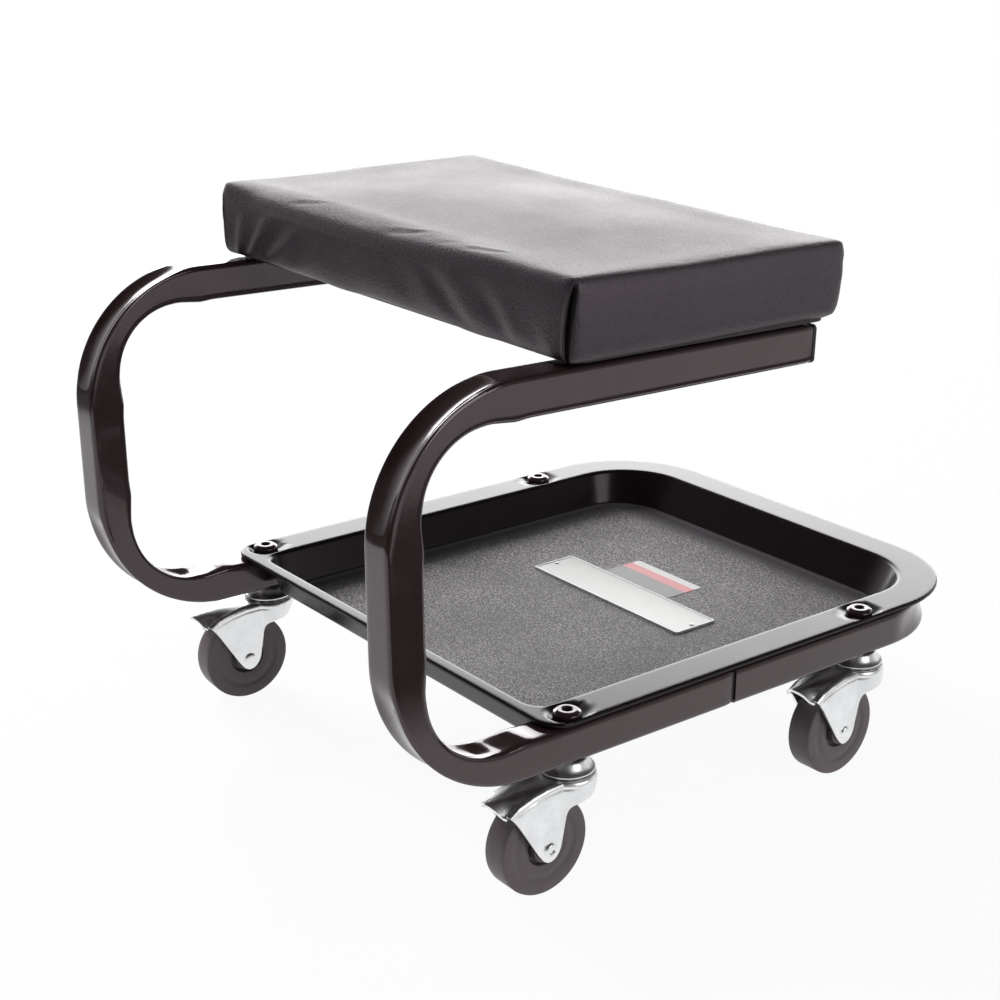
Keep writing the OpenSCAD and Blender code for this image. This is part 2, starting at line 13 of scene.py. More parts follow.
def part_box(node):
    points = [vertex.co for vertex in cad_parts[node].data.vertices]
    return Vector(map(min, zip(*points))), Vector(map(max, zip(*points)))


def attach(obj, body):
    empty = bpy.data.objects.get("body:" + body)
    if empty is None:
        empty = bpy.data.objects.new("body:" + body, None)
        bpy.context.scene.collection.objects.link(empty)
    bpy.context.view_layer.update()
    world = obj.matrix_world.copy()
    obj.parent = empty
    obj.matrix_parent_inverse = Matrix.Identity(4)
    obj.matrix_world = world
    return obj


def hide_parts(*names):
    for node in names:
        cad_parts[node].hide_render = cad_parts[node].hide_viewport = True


bl_info = {
    "name": "Creeper Seat",
    "version": (1, 0, 0),
    "blender": (4, 5, 0),
    "location": "3D View > Sidebar > Seat",
    "description": "Dresses the frame of a rolling workshop seat: tubes, tray, cushion and casters",
    "category": "Object",
}

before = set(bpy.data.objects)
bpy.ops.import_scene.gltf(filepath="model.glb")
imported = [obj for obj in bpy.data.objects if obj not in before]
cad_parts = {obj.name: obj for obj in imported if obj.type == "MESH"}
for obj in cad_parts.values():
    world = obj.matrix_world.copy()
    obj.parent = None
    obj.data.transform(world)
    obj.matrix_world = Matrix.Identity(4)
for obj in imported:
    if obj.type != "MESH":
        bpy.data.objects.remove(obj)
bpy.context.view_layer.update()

MM = 0.001
CORNERS = ("front_left", "front_right", "rear_left", "rear_right")


def low_mm(node):
    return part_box(node)[0] / MM


def high_mm(node):
    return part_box(node)[1] / MM


def middle_of(node):
    low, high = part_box(node)
    return (low + high) / 2


# Places that the frame gives, in millimetres
FRONT = low_mm("right_side_frame").y - 0.05
RAIL_LOW = low_mm("rear_tube").z
RAIL_TOP = high_mm("rear_tube").z
HALF_WIDTH = high_mm("rear_tube").x
JOINT_Y = low_mm("rear_tube").y
REAR_FACE = high_mm("rear_tube").y
TRAY_FRONT = low_mm("tray").y
TRAY_REAR = high_mm("tray").y
RIM_TOP = high_mm("tray").z

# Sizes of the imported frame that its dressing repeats, in millimetres
TUBE_MIDDLE = 12.7
SIDE_HEIGHT = 260.9
UPPER_RAIL = 336.0
# Outer and inner radii of the tubes' bends
LOWER_SKIN, UPPER_SKIN, REAR_SKIN = 100.0, 90.0, 97.0
LOWER_BEND, UPPER_BEND, REAR_BEND = 54.0, 45.0, 54.0
# Widths of the tray's rim, and radii of the corners of the rim and of the well inside it
RIM_SIDE, RIM_FRONT, RIM_REAR = 29.0, 11.0, 28.0
RIM_FRONT_RADIUS, RIM_REAR_RADIUS = 18.0, 82.0
WELL_FRONT_RADIUS, WELL_REAR_RADIUS = 14.0, 54.0
TRAY_DEPTH = 28.0
NUT_X = 181.8
CASTER_ROWS = (FRONT + 143.0, FRONT + 414.2)
RAIL_FALL = math.radians(1.35)
POST_LEAN = math.radians(1.0)

# Places worked out from them
FRAME_TOP = RAIL_LOW + SIDE_HEIGHT
TRAY_FLOOR = RIM_TOP - TRAY_DEPTH
UPPER_TURN = math.pi / 2 + POST_LEAN + RAIL_FALL
TOP_CORNER_Y = FRONT + UPPER_SKIN * (1 - math.tan(UPPER_TURN / 2) * math.cos(RAIL_FALL)
                                     + math.sin(RAIL_FALL))
NUT_PLACES = [(x, y) for y in CASTER_ROWS for x in (-NUT_X, NUT_X)]
KINGPINS = {corner: Vector((side * (HALF_WIDTH - TUBE_MIDDLE), y, 0)) * MM
            for corner, (y, side) in zip(CORNERS, product(CASTER_ROWS, (-1, 1)))}

# The seat's own axes: x as the frame's, y along the upper rail from its top corner, z square to it
SEAT_AXES = (Matrix.Translation(Vector((0, TOP_CORNER_Y, FRAME_TOP)) * MM)
             @ Matrix.Rotation(-RAIL_FALL, 4, "X"))


class SeatSizes(bpy.types.PropertyGroup):
    """Sizes that a user would change"""

    tube: FloatProperty(name="Tube side", description="Outside of the square tube",
                        default=0.0254, unit="LENGTH")
    tube_corner: FloatProperty(name="Tube corner", description="Radius along the tube's edges",
                               default=0.003, unit="LENGTH")
    bend_trough: FloatProperty(name="Bend trough", default=0.0036, unit="LENGTH",
                               description="How far bending has pressed in the inner wall")
    skin_trough: FloatProperty(name="Skin trough", default=0.0031, unit="LENGTH",
                               description="How far bending has pressed in the outer wall")
    cushion_width: FloatProperty(name="Cushion width", description="Width of the cushion at its fullest",
                                 default=0.4015, unit="LENGTH")
    cushion_depth: FloatProperty(name="Cushion depth", description="Depth of the cushion from front to rear",
                                 default=0.2335, unit="LENGTH")
    cushion_height: FloatProperty(name="Cushion height", description="Height of the cushion's upper edge",
                                  default=0.0545, unit="LENGTH")
    crown: FloatProperty(name="Crown", description="Rise of the cushion's middle above its edge",
                         default=0.0045, unit="LENGTH")
    pleat_depth: FloatProperty(name="Pleat depth", default=0.010, unit="LENGTH",
                               description="Depth of the fold at each corner of the cover")
    wheel_diameter: FloatProperty(name="Wheel diameter", description="Diameter of the wheels",
                                  default=0.0676, unit="LENGTH")
    wheel_width: FloatProperty(name="Wheel width", description="Width of the wheels",
                               default=0.019, unit="LENGTH")
    sheet: FloatProperty(name="Tray sheet", description="Thickness of the tray's sheet metal",
                         default=0.0012, unit="LENGTH")


class SeatColours(bpy.types.PropertyGroup):
    """Colours that a user would change"""

    paint: FloatVectorProperty(name="Gloss paint", description="Paint of the tubes", subtype="COLOR",
                               default=(0.024, 0.013, 0.014))
    tray: FloatVectorProperty(name="Tray paint", description="Paint of the tray", subtype="COLOR",
                              default=(0.008, 0.005, 0.006))
    vinyl: FloatVectorProperty(name="Vinyl", description="Cover of the cushion", subtype="COLOR",
                               default=(0.026, 0.019, 0.024))
    wheel: FloatVectorProperty(name="Wheel", description="Plastic of the wheels", subtype="COLOR",
                               default=(0.105, 0.084, 0.090))
    zinc: FloatVectorProperty(name="Zinc", description="Plating of the casters", subtype="COLOR",
                              default=(0.86, 0.87, 0.88))
    badge: FloatVectorProperty(name="Badge", description="Plate on the tray floor", subtype="COLOR",
                               default=(0.7, 0.7, 0.69))
    label: FloatVectorProperty(name="Label", description="Sticker on the tray floor", subtype="COLOR",
                               default=(0.045, 0.042, 0.042))


class Value:
    """A shader socket that can stand in a Python sum."""

    def __init__(self, nodes, socket):
        self.nodes, self.socket = nodes, socket

    def sum(self, operation, first, second):
        return self.nodes.node("ShaderNodeMath", {"operation": operation}, {0: first, 1: second})

    def __add__(self, other):
        return self.sum("ADD", self, other)

    __radd__ = __add__

    def __sub__(self, other):
        return self.sum("SUBTRACT", self, other)

    def __rsub__(self, other):
        return self.sum("SUBTRACT", other, self)

    def __mul__(self, other):
        return self.sum("MULTIPLY", self, other)

    __rmul__ = __mul__

    def or_more(self, other):
        return self.sum("MAXIMUM", self, other)


class Nodes:
    """A node tree that Python fills: a material's or the surroundings'."""

    def __init__(self, owner):
        owner.use_nodes = True
        self.tree = owner.node_tree

    def give(self, socket, value):
        if isinstance(value, Value):
            self.tree.links.new(value.socket, socket)
        else:
            socket.default_value = value

    def node(self, kind, settings=None, inputs=None, output=0):
        """Adds a node: its settings first, then what its sockets hold or are linked to."""
        made = self.tree.nodes.new(kind)
        for key, value in (settings or {}).items():
            setattr(made, key, value)
        for key, value in (inputs or {}).items():
            self.give(made.inputs[key], value)
        return Value(self, made.outputs[output])

    def between(self, value, low, high, to_low=0.0, to_high=1.0, curve="SMOOTHSTEP"):
        return self.node("ShaderNodeMapRange", {"interpolation_type": curve},
                         {"Value": value, "From Min": low, "From Max": high,
                          "To Min": to_low, "To Max": to_high})

    def mix(self, factor, first, second):
        return self.node("ShaderNodeMix", {"data_type": "FLOAT"}, {0: factor, 2: first, 3: second})

    def part(self, vector, axis):
        """One axis of a vector socket."""
        return self.node("ShaderNodeSeparateXYZ", None, {0: vector}, axis)

    def ray(self, kind):
        """1 where a ray of this kind looks, and 0 elsewhere."""
        return self.node("ShaderNodeLightPath", output=f"Is {kind} Ray")


class Finish(Nodes):
    """A material: one Principled shader, and the nodes that vary it over the surface."""

    def __init__(self, name, colour, roughness, metallic=0.0, **sockets):
        self.material = bpy.data.materials.new(name)
        super().__init__(self.material)
        self.shader = self.tree.nodes["Principled BSDF"]
        self.colour = (*colour, 1.0)
        self.set("Base Color", self.colour)
        self.set("Roughness", roughness)
        self.set("Metallic", metallic)
        for socket, value in sockets.items():
            self.set(socket.replace("_", " "), value)
        self.place = self.node("ShaderNodeTexCoord", output="Object")

    def set(self, socket, value):
        self.give(self.shader.inputs[socket], value)

    def scaled(self, scale):
        """The object's own coordinates, stretched."""
        return self.node("ShaderNodeMapping", None, {"Vector": self.place, "Scale": scale})

    def noise(self, scale, detail, roughness, at=None):
        return self.node("ShaderNodeTexNoise", None, {"Vector": at or self.place, "Scale": scale,
                                                      "Detail": detail, "Roughness": roughness})

    def tint(self, factor, first, second):
        """A colour between two others; each is a tuple or a colour socket."""
        return self.node("ShaderNodeMix", {"data_type": "RGBA"}, {0: factor, 6: first, 7: second}, 2)

    def shade(self, amount):
        """The base colour, lighter or darker."""
        return tuple(min(1.0, c * amount) for c in self.colour[:3]) + (1.0,)

    def axis(self, name):
        return self.part(self.place, name)

    def relief(self, height, distance, strength):
        self.set("Normal", self.node("ShaderNodeBump", None, {"Height": height, "Distance": distance,
                                                              "Strength": strength}, "Normal"))

    def wear(self, pieces):
        for piece in pieces:
            piece.data.materials.clear()
            piece.data.materials.append(self.material)


def gloss_paint(colours):
    """Baked gloss paint with a faint orange peel and smears of dust."""
    finish = Finish("gloss_black_paint", colours.paint, 0.14, Coat_Weight=0.42, Coat_Roughness=0.05,
                    Specular_IOR_Level=0.54, Specular_Tint=(1.0, 0.82, 0.86, 1.0))
    smear = finish.noise(38.0, 4.0, 0.6)
    dust = finish.between(finish.noise(900.0, 3.0, 0.7), 0.66, 0.78)
    finish.set("Roughness", finish.between(smear, 0.35, 0.7, 0.10, 0.19) + dust * 0.12)
    finish.set("Base Color", finish.tint(dust * 0.35, finish.colour, (0.10, 0.09, 0.085, 1.0)))
    finish.relief(finish.noise(260.0, 2.0, 0.5), 0.00006, 0.5)
    return finish


def tray_paint(colours):
    """Satin paint on the rim and walls, and a rough speckled floor with painted shade towards the foot of the
    walls.
    """
    finish = Finish("textured_black_paint", colours.tray, 0.3, Coat_Weight=0.06, Coat_Roughness=0.12,
                    Specular_IOR_Level=0.25, Specular_Tint=(1.0, 0.93, 0.96, 1.0))
    # The texture starts low in the rounded foot of the walls
    floor = finish.between(finish.axis("Z"), (TRAY_FLOOR + 2.0) * MM, (TRAY_FLOOR + 1.1) * MM)
    grit = finish.noise(950.0, 3.0, 0.7)
    speck = finish.between(grit, 0.44, 0.68)
    worn = finish.between(finish.noise(14.0, 4.0, 0.6), 0.3, 0.75)
    # Painted shade: the floor darkens towards the foot of each wall but the front one
    foot_x, foot_rear, fading = (HALF_WIDTH - 39) * MM, (TRAY_REAR - 47) * MM, 30 * MM
    unshaded_floor = (finish.between(finish.axis("X"), -foot_x, fading - foot_x)
                  * finish.between(finish.axis("X"), foot_x, foot_x - fading)
                  * finish.between(finish.axis("Y"), foot_rear, foot_rear - fading))
    textured = finish.tint(unshaded_floor * speck * (0.5 + 0.3 * worn),
                           (0.05, 0.046, 0.05, 1.0), (0.72, 0.69, 0.72, 1.0))
    finish.set("Base Color", finish.tint(floor, finish.colour, textured))
    finish.set("Coat Weight", 0.06 * (1.0 - floor))
    finish.set("Roughness", 0.2 + 0.07 * finish.noise(30.0, 4.0, 0.6) + floor * 0.33)
    finish.relief(floor * (grit - 0.5) + 0.02 * finish.noise(300.0, 2.0, 0.5), 0.0005, 0.6)
    return finish


def zinc_plate(colours):
    """Bright zinc plate, blotched and lightly brushed."""
    finish = Finish("zinc_plate", colours.zinc, 0.27, 1.0)
    blotch = finish.noise(55.0, 5.0, 0.62)
    brushed = finish.noise(240.0, 3.0, 0.6, finish.scaled((1.0, 1.0, 9.0)))
    pale = finish.between(blotch, 0.3, 0.72)
    finish.set("Base Color", finish.tint(pale, finish.shade(0.9), finish.shade(1.1)))
    finish.set("Roughness", finish.between(blotch, 0.3, 0.7, 0.26, 0.38) + 0.05 * brushed)
    finish.relief(brushed, 0.00004, 0.25)
    return finish


def wheel_plastic(colours):
    """Hard wheel plastic, cloudy and scuffed, and paler towards its bottom."""
    finish = Finish("wheel_plastic", colours.wheel, 0.48)
    scuff = finish.noise(420.0, 5.0, 0.7)
    cloud = finish.between(finish.noise(60.0, 4.0, 0.6), 0.3, 0.7)
    low = finish.between(finish.axis("Z"), 0.012, 0.001)
    pale = finish.tint(scuff, finish.shade(1.15), finish.shade(1.9))
    finish.set("Base Color", finish.tint(0.15 * cloud + 0.35 * low, finish.colour, pale))
    finish.set("Roughness", 0.38 + 0.14 * scuff)
    finish.relief(scuff, 0.0001, 0.4)
    return finish


def black_vinyl(colours):
    """Upholstery vinyl: fine leather grain, with painted shade inside its folds."""
    finish = Finish("black_vinyl", colours.vinyl, 0.42, Sheen_Weight=0.06, Sheen_Roughness=0.4,
                    Specular_IOR_Level=0.78, Specular_Tint=(1.0, 0.86, 0.97, 1.0))
    drift = finish.node("ShaderNodeTexNoise", None, {"Vector": finish.place, "Scale": 500.0}, "Color")
    drift = finish.node("ShaderNodeVectorMath", {"operation": "SCALE"}, {0: drift, "Scale": 0.0008}, "Vector")
    wander = finish.node("ShaderNodeVectorMath", {"operation": "ADD"}, {0: finish.place, 1: drift}, "Vector")
    pebble = finish.node("ShaderNodeTexVoronoi", {"feature": "SMOOTH_F1"},
                         {"Vector": wander, "Scale": 820.0}, "Distance")
    pore = finish.noise(1900.0, 2.0, 0.5)
    hand = finish.noise(22.0, 4.0, 0.55)
    fold = finish.node("ShaderNodeAttribute", {"attribute_name": "fold"}, output="Fac")
    skin = finish.tint(finish.between(pebble, 0.25, 0.7), finish.shade(1.1), finish.shade(0.75))
    # Painted shade: deep in a fold the colour falls to a tenth of the base colour
    finish.set("Base Color", finish.tint(fold, skin, finish.shade(0.1)))
    finish.set("Roughness", finish.between(hand, 0.3, 0.7, 0.39, 0.43) + 0.12 * pebble + 0.3 * fold)
    finish.relief((1.0 - pebble) + 0.4 * pore, 0.0004, 0.7)
    return finish


def badge_metal(colours):
    """Satin metal plate, brushed along its length, with a darker field inside its raised border."""
    finish = Finish("aluminium_plate", colours.badge, 0.5, 0.25)
    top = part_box("badge_plate")[1].z
    brushed = finish.noise(900.0, 3.0, 0.6, finish.scaled((0.05, 1.0, 1.0)))
    field = finish.between(finish.axis("Z"), top - 0.0002, top - 0.0004)
    plate = finish.tint(brushed, finish.shade(0.85), finish.shade(1.2))
    finish.set("Base Color", finish.tint(field, plate, finish.shade(0.75)))
    finish.set("Roughness", 0.42 + 0.15 * brushed)
    finish.relief(brushed, 0.00004, 0.4)
    return finish


def label_film(colours):
    """Plain printed film: a dark field at the front, then a red band, then a pale edge."""
    finish = Finish("pale_sticker", colours.label, 0.42, Specular_IOR_Level=0.35)
    low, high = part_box("tray_sticker")
    fibre = finish.noise(700.0, 3.0, 0.6)
    across = finish.between(finish.axis("Y"), low.y, high.y)
    band = finish.between(across, 0.52, 0.53)
    edge = finish.between(across, 0.88, 0.89)
    dark = finish.tint(fibre * 0.3, finish.colour, finish.shade(1.5))
    banded = finish.tint(band, dark, (0.40, 0.06, 0.07, 1.0))
    finish.set("Base Color", finish.tint(edge, banded, (0.42, 0.41, 0.40, 1.0)))
    finish.set("Roughness", 0.3 + 0.1 * fibre)
    return finish


def plain_finish(name, colour, roughness, metallic, scale, contrast, bump):
    """A finish for pieces that hardly show: cloudy colour and a fine grain."""
    finish = Finish(name, colour, roughness, metallic)
    grain = finish.noise(scale, 4.0, 0.6)
    finish.set("Base Color", finish.tint(grain, finish.shade(1 - contrast), finish.shade(1 + contrast)))
    finish.set("Roughness", roughness - 0.08 + 0.16 * grain)
    finish.relief(grain, bump, 0.5)
    return finish


def plywood(name):
    """Plywood stained black: long grain on the face, thin plies across the edge."""
    finish = Finish(name, (0.032, 0.026, 0.024), 0.62)
    grain = finish.noise(60.0, 5.0, 0.6, finish.scaled((1.0, 9.0, 9.0)))
    plies = finish.node("ShaderNodeTexWave", {"bands_direction": "Z"},
                        {"Vector": finish.place, "Scale": 90.0, "Distortion": 0.4})
    finish.set("Base Color", finish.tint(0.7 * grain + 0.2 * plies, finish.shade(0.6), finish.shade(1.3)))
    finish.relief(grain, 0.0002, 0.5)
    return finish


def nothing_selected():
    bpy.ops.object.select_all(action="DESELECT")


def only(piece):
    nothing_selected()
    piece.select_set(True)
    bpy.context.view_layer.objects.active = piece


def editing(mode="FACE"):
    bpy.context.tool_settings.mesh_select_mode = [mode == kind for kind in ("VERT", "EDGE", "FACE")]
    bpy.ops.object.mode_set(mode="EDIT")


def done_editing():
    bpy.ops.object.mode_set(mode="OBJECT")


def choose(piece, edges=None, faces=None):
    """Selects the edges or faces that a list of yes and no names, and nothing else."""
    mesh = piece.data
    for elements, chosen in ((mesh.vertices, None), (mesh.edges, edges), (mesh.polygons, faces)):
        elements.foreach_set("select", chosen or [False] * len(elements))


def named(name):
    piece = bpy.context.object
    piece.name = piece.data.name = name
    return piece


def joined(pieces, name):
    """Joins pieces into the first of them."""
    only(pieces[0])
    for piece in pieces:
        piece.select_set(True)
    bpy.ops.object.join()
    return named(name)


def points_of(piece):
    at = np.empty(len(piece.data.vertices) * 3)
    piece.data.vertices.foreach_get("co", at)
    return at.reshape(-1, 3)


def put_points(piece, at):
    piece.data.vertices.foreach_set("co", np.asarray(at, float).ravel())
    piece.data.update()


def span(piece, edge):
    """The way from one end of an edge to the other."""
    a, b = (piece.data.vertices[i].co for i in edge.vertices)
    return a - b


def smooth(piece, degrees):
    only(piece)
    bpy.ops.object.shade_smooth_by_angle(angle=math.radians(degrees))


def closed_up(piece, outward=True):
    """Welds doubled points and turns the faces outwards."""
    only(piece)
    editing()
    bpy.ops.mesh.select_all(action="SELECT")
    bpy.ops.mesh.remove_doubles(threshold=0.000004)
    if outward:
        bpy.ops.mesh.normals_make_consistent(inside=False)
    done_editing()
    return piece


def facing_up(piece):
    """Turns a sheet so that most of it looks up."""
    if sum(face.normal.z * face.area for face in piece.data.polygons) < 0:
        piece.data.flip_normals()


def apply(piece, kind, **settings):
    """Adds a modifier and applies it."""
    only(piece)
    modifier = piece.modifiers.new(kind.title(), kind)
    for key, value in settings.items():
        setattr(modifier, key, value)
    bpy.ops.object.modifier_apply(modifier=modifier.name)


def ease_edges(piece, width, degrees):
    """Rounds the edges that turn by more than so many degrees."""
    apply(piece, "BEVEL", width=width * MM, segments=2,
          limit_method="ANGLE", angle_limit=math.radians(degrees))


def moved(piece, matrix):
    """Puts a finished piece in place, with its place in its mesh."""
    piece.data.transform(matrix)
    piece.data.update()
    return piece


def copied(piece, name):
    twin = piece.copy()
    twin.data = piece.data.copy()
    twin.name = twin.data.name = name
    bpy.context.scene.collection.objects.link(twin)
    return twin


def bend_line(corners, steps):
    """A line through corners (x, y, radius), with each corner turned into an arc of so many steps."""
    line = []
    for k, (x, y, r) in enumerate(corners):
        if r <= 0 or k in (0, len(corners) - 1):
            line.append((x, y))
            continue
        here = Vector((x, y))
        a = (Vector(corners[k - 1][:2]) - here).normalized()
        b = (Vector(corners[k + 1][:2]) - here).normalized()
        half = math.acos(max(-1.0, min(1.0, a.dot(b)))) / 2
        centre = here + (a + b).normalized() * (r / math.sin(half))
        start, end = here + a * (r / math.tan(half)) - centre, here + b * (r / math.tan(half)) - centre
        turn = start.angle_signed(end)
        for i in range(steps + 1):
            p = start.copy()
            p.rotate(Matrix.Rotation(-turn * i / steps, 2))
            line.append(tuple(centre + p))
    return line


def run_of(line):
    """How far along a line each of its points lies."""
    return np.concatenate([[0], np.cumsum(np.hypot(*np.diff(line, axis=0).T))])


def patch(name, points):
    """A grid primitive whose points are put where a table of places, in millimetres, says."""
    points = np.asarray(points, float)
    rows, columns = points.shape[:2]
    nothing_selected()
    bpy.ops.mesh.primitive_grid_add(x_subdivisions=columns - 1, y_subdivisions=rows - 1, size=2)
    piece = named(name)
    at = points_of(piece)
    if len(at) != rows * columns:
        raise RuntimeError(f"the grid for {name} came out with {len(at)} points")
    i = np.rint((at[:, 1] + 1) / 2 * (rows - 1)).astype(int)
    j = np.rint((at[:, 0] + 1) / 2 * (columns - 1)).astype(int)
    put_points(piece, points[i, j] * MM)
    return piece


def turned(name, profile, segments):
    """A round piece about the z axis from a profile of (radius, height), in millimetres."""
    angle = np.linspace(0, 2 * np.pi, segments + 1)
    points = [[(r * math.cos(a), r * math.sin(a), h) for a in angle] for r, h in profile]
    piece = closed_up(patch(name, points))
    smooth(piece, 32)
    return piece


def lifted(ring, z):
    """A ring of points lifted to one height, or each to its own."""
    return np.column_stack([ring, np.full(len(ring), z)])


def rounded_ring(half_x, y0, y1, front_r, rear_r, side_steps=60, end_steps=40, corner_steps=14):
    """Points and outward directions round a rectangle with rounded corners, in millimetres."""
    def line(a, b, n, out):
        return [((a[0] + (b[0] - a[0]) * k / n, a[1] + (b[1] - a[1]) * k / n), out) for k in range(n)]

    def corner(cx, cy, r, from_angle):
        found = []
        for k in range(corner_steps):
            a = math.radians(from_angle + 90 * k / corner_steps)
            out = (math.cos(a), math.sin(a))
            found.append(((cx + r * out[0], cy + r * out[1]), out))
        return found

    ring = line((half_x, y0 + front_r), (half_x, y1 - rear_r), side_steps, (1, 0))
    ring += corner(half_x - rear_r, y1 - rear_r, rear_r, 0)
    ring += line((half_x - rear_r, y1), (rear_r - half_x, y1), end_steps, (0, 1))
    ring += corner(rear_r - half_x, y1 - rear_r, rear_r, 90)
    ring += line((-half_x, y1 - rear_r), (-half_x, y0 + front_r), side_steps, (-1, 0))
    ring += corner(front_r - half_x, y0 + front_r, front_r, 180)
    ring += line((front_r - half_x, y0), (half_x - front_r, y0), end_steps, (0, -1))
    ring += corner(half_x - front_r, y0 + front_r, front_r, 270)
    ring.append(ring[0])
    return np.array([p for p, _ in ring], float), np.array([d for _, d in ring], float)


def fade(value, start, end):
    """0 before start and 1 after end, smoothly."""
    t = np.clip((np.asarray(value, float) - start) / (end - start), 0, 1)
    return t * t * (3 - 2 * t)


def hump(value, middle, width):
    """1 at the middle, falling to nothing at either side."""
    return np.exp(-(((value - middle) / width) ** 2))


class Bend:
    """One bend of a square tube, in the flat frame of its corner.

    One leg runs along x, and the other along the line turned from it.
    """

    def __init__(self, turn, skin, core, tube):
        self.turn, self.skin, self.core, self.tube = turn, skin, core, tube
        half = math.tan(turn / 2)
        self.reach_core = (tube + core) * half
        self.reach_skin = skin * half
        self.centre = np.array([self.reach_core, tube + core])
        self.skin_centre = np.array([self.reach_skin, skin])

    def depth_on_leg(self, s):
        """Depth of the tube at a distance s from the corner, where the skin has begun to curve."""
        before = np.clip(self.reach_skin - s, 0, self.skin)
        return self.tube - (self.skin - np.sqrt(self.skin**2 - before**2))

    def depth_on_arc(self, out):
        """Depth of the tube along unit directions out from the inner arc's centre."""
        to = self.centre - self.skin_centre
        b = out @ to
        return np.sqrt(np.maximum(b * b - (to @ to) + self.skin**2, 0)) - b - self.core

    def pressed(self, at, width_at, trough, skin_trough, wrinkle):
        """Where points of a constant tube go when the bend flattens it.

        at is (n, 2), and width_at is how far each point lies from the middle of the tube's width.
        """
        u = np.array([-math.cos(self.turn), math.sin(self.turn)])
        v = np.array([math.sin(self.turn), math.cos(self.turn)])
        on_b = at @ u > at[:, 0]
        s = np.where(on_b, at @ u, at[:, 0])
        t_leg = self.tube - np.where(on_b, at @ v, at[:, 1])
        out_leg = np.where(on_b[:, None], -v, np.array([0.0, -1.0]))
        on_arc = s < self.reach_core
        from_centre = at - self.centre
        radius = np.maximum(np.linalg.norm(from_centre, axis=1), 1e-6)
        out_arc = from_centre / radius[:, None]
        # Each point's way out, its height above the inner wall, and the depth that the tube has there
        out = np.where(on_arc[:, None], out_arc, out_leg)
        t = np.where(on_arc, radius - self.core, t_leg)
        depth = np.where(on_arc, self.depth_on_arc(out_arc), self.depth_on_leg(s))
        # How far round the bend it is: 0 at the middle of the inner arc, 1 at the arc's end
        bisector = u + np.array([1.0, 0.0])
        bisector = -bisector / np.linalg.norm(bisector)
        swing = np.arccos(np.clip(out_arc @ bisector, -1, 1)) / (self.turn / 2)
        along = np.where(on_arc, swing, 1 + (s - self.reach_core) / (self.reach_core * 0.5))
        # 1 in the middle of the tube's width, 0 at its edges
        across = np.clip(1 - (np.abs(width_at) / (self.tube / 2 - 1.2)) ** 2, 0, 1)
        # 1 on the inner or outer wall, 0 from 2 mm inside it
        inner, outer = fade(t, 2.0, 0.2), fade(t, self.tube - 2.0, self.tube - 0.2)
        shift = (depth - self.tube) * fade(t, 2.5, self.tube - 2.5)
        shift = shift + inner * across * trough * fade(along, 0.98, 0.72)
        shift = shift - outer * across**0.7 * skin_trough * fade(along, 1.35, 0.75)
        # A wrinkle stands past each end of the arc, with a hollow before it
        ridge = hump(along, 1.55, 0.17) - 0.7 * hump(along, 1.06, 0.14)
        shift = shift - fade(t, self.tube * 0.5, 0) * wrinkle * ridge * (0.55 + 0.45 * across)
        return at + out * shift[:, None]


# Height of the wrinkles that bending leaves, how far a cut end is eased, and the steps of a drawn tube
WRINKLE = 1.5
END_EASE = 0.35
DRAW_STEP, DRAW_DEGREES = 4.0, 2.8


def tube_section(name, start, sizes):
    """The rounded square that a tube is drawn from, left in edit mode with its face selected."""
    nothing_selected()
    bpy.ops.mesh.primitive_plane_add(size=sizes.tube, location=start, rotation=(0, math.pi / 2, 0))
    piece = named(name)
    bpy.ops.object.transform_apply(location=True, rotation=True, scale=True)
    editing("VERT")
    bpy.ops.mesh.select_all(action="SELECT")
    bpy.ops.mesh.bevel(offset=sizes.tube_corner, segments=4, affect="VERTICES")
    done_editing()
    choose(piece, edges=[span(piece, edge).length > sizes.tube / 2 for edge in piece.data.edges])
    editing("EDGE")
    bpy.ops.mesh.subdivide(number_cuts=7)
    bpy.ops.mesh.select_mode(type="FACE")
    bpy.ops.mesh.select_all(action="SELECT")
    return piece


def draw_along(length, way):
    """Extrudes the selected end of a tube in short steps."""
    count = max(1, round(length / DRAW_STEP))
    for _ in range(count):
        step = way * length / count * MM
        bpy.ops.mesh.extrude_region_move(TRANSFORM_OT_translate={"value": (step[0], step[1], 0)})


def draw_round(turn, centre):
    """Spins the selected end of a tube about a centre."""
    bpy.ops.mesh.spin(steps=max(24, round(math.degrees(turn) / DRAW_DEGREES)), angle=turn,
                      center=(centre[0] * MM, centre[1] * MM, 0), axis=(0, 0, 1))


def eased_end(at, end, direction, tube):
    """Draws in the rim of a tube's end a little, where it was cut and dressed."""
    on_end = np.abs((at[:, :2] - end) @ direction) < 0.01
    side = np.array([-direction[1], direction[0]])
    middle = end + side * ((at[on_end, :2] - end) @ side).mean()
    shrink = 1 - END_EASE / (tube / 2)
    at[on_end, :2] = middle + (at[on_end, :2] - middle) * shrink
    at[on_end, 2] *= shrink


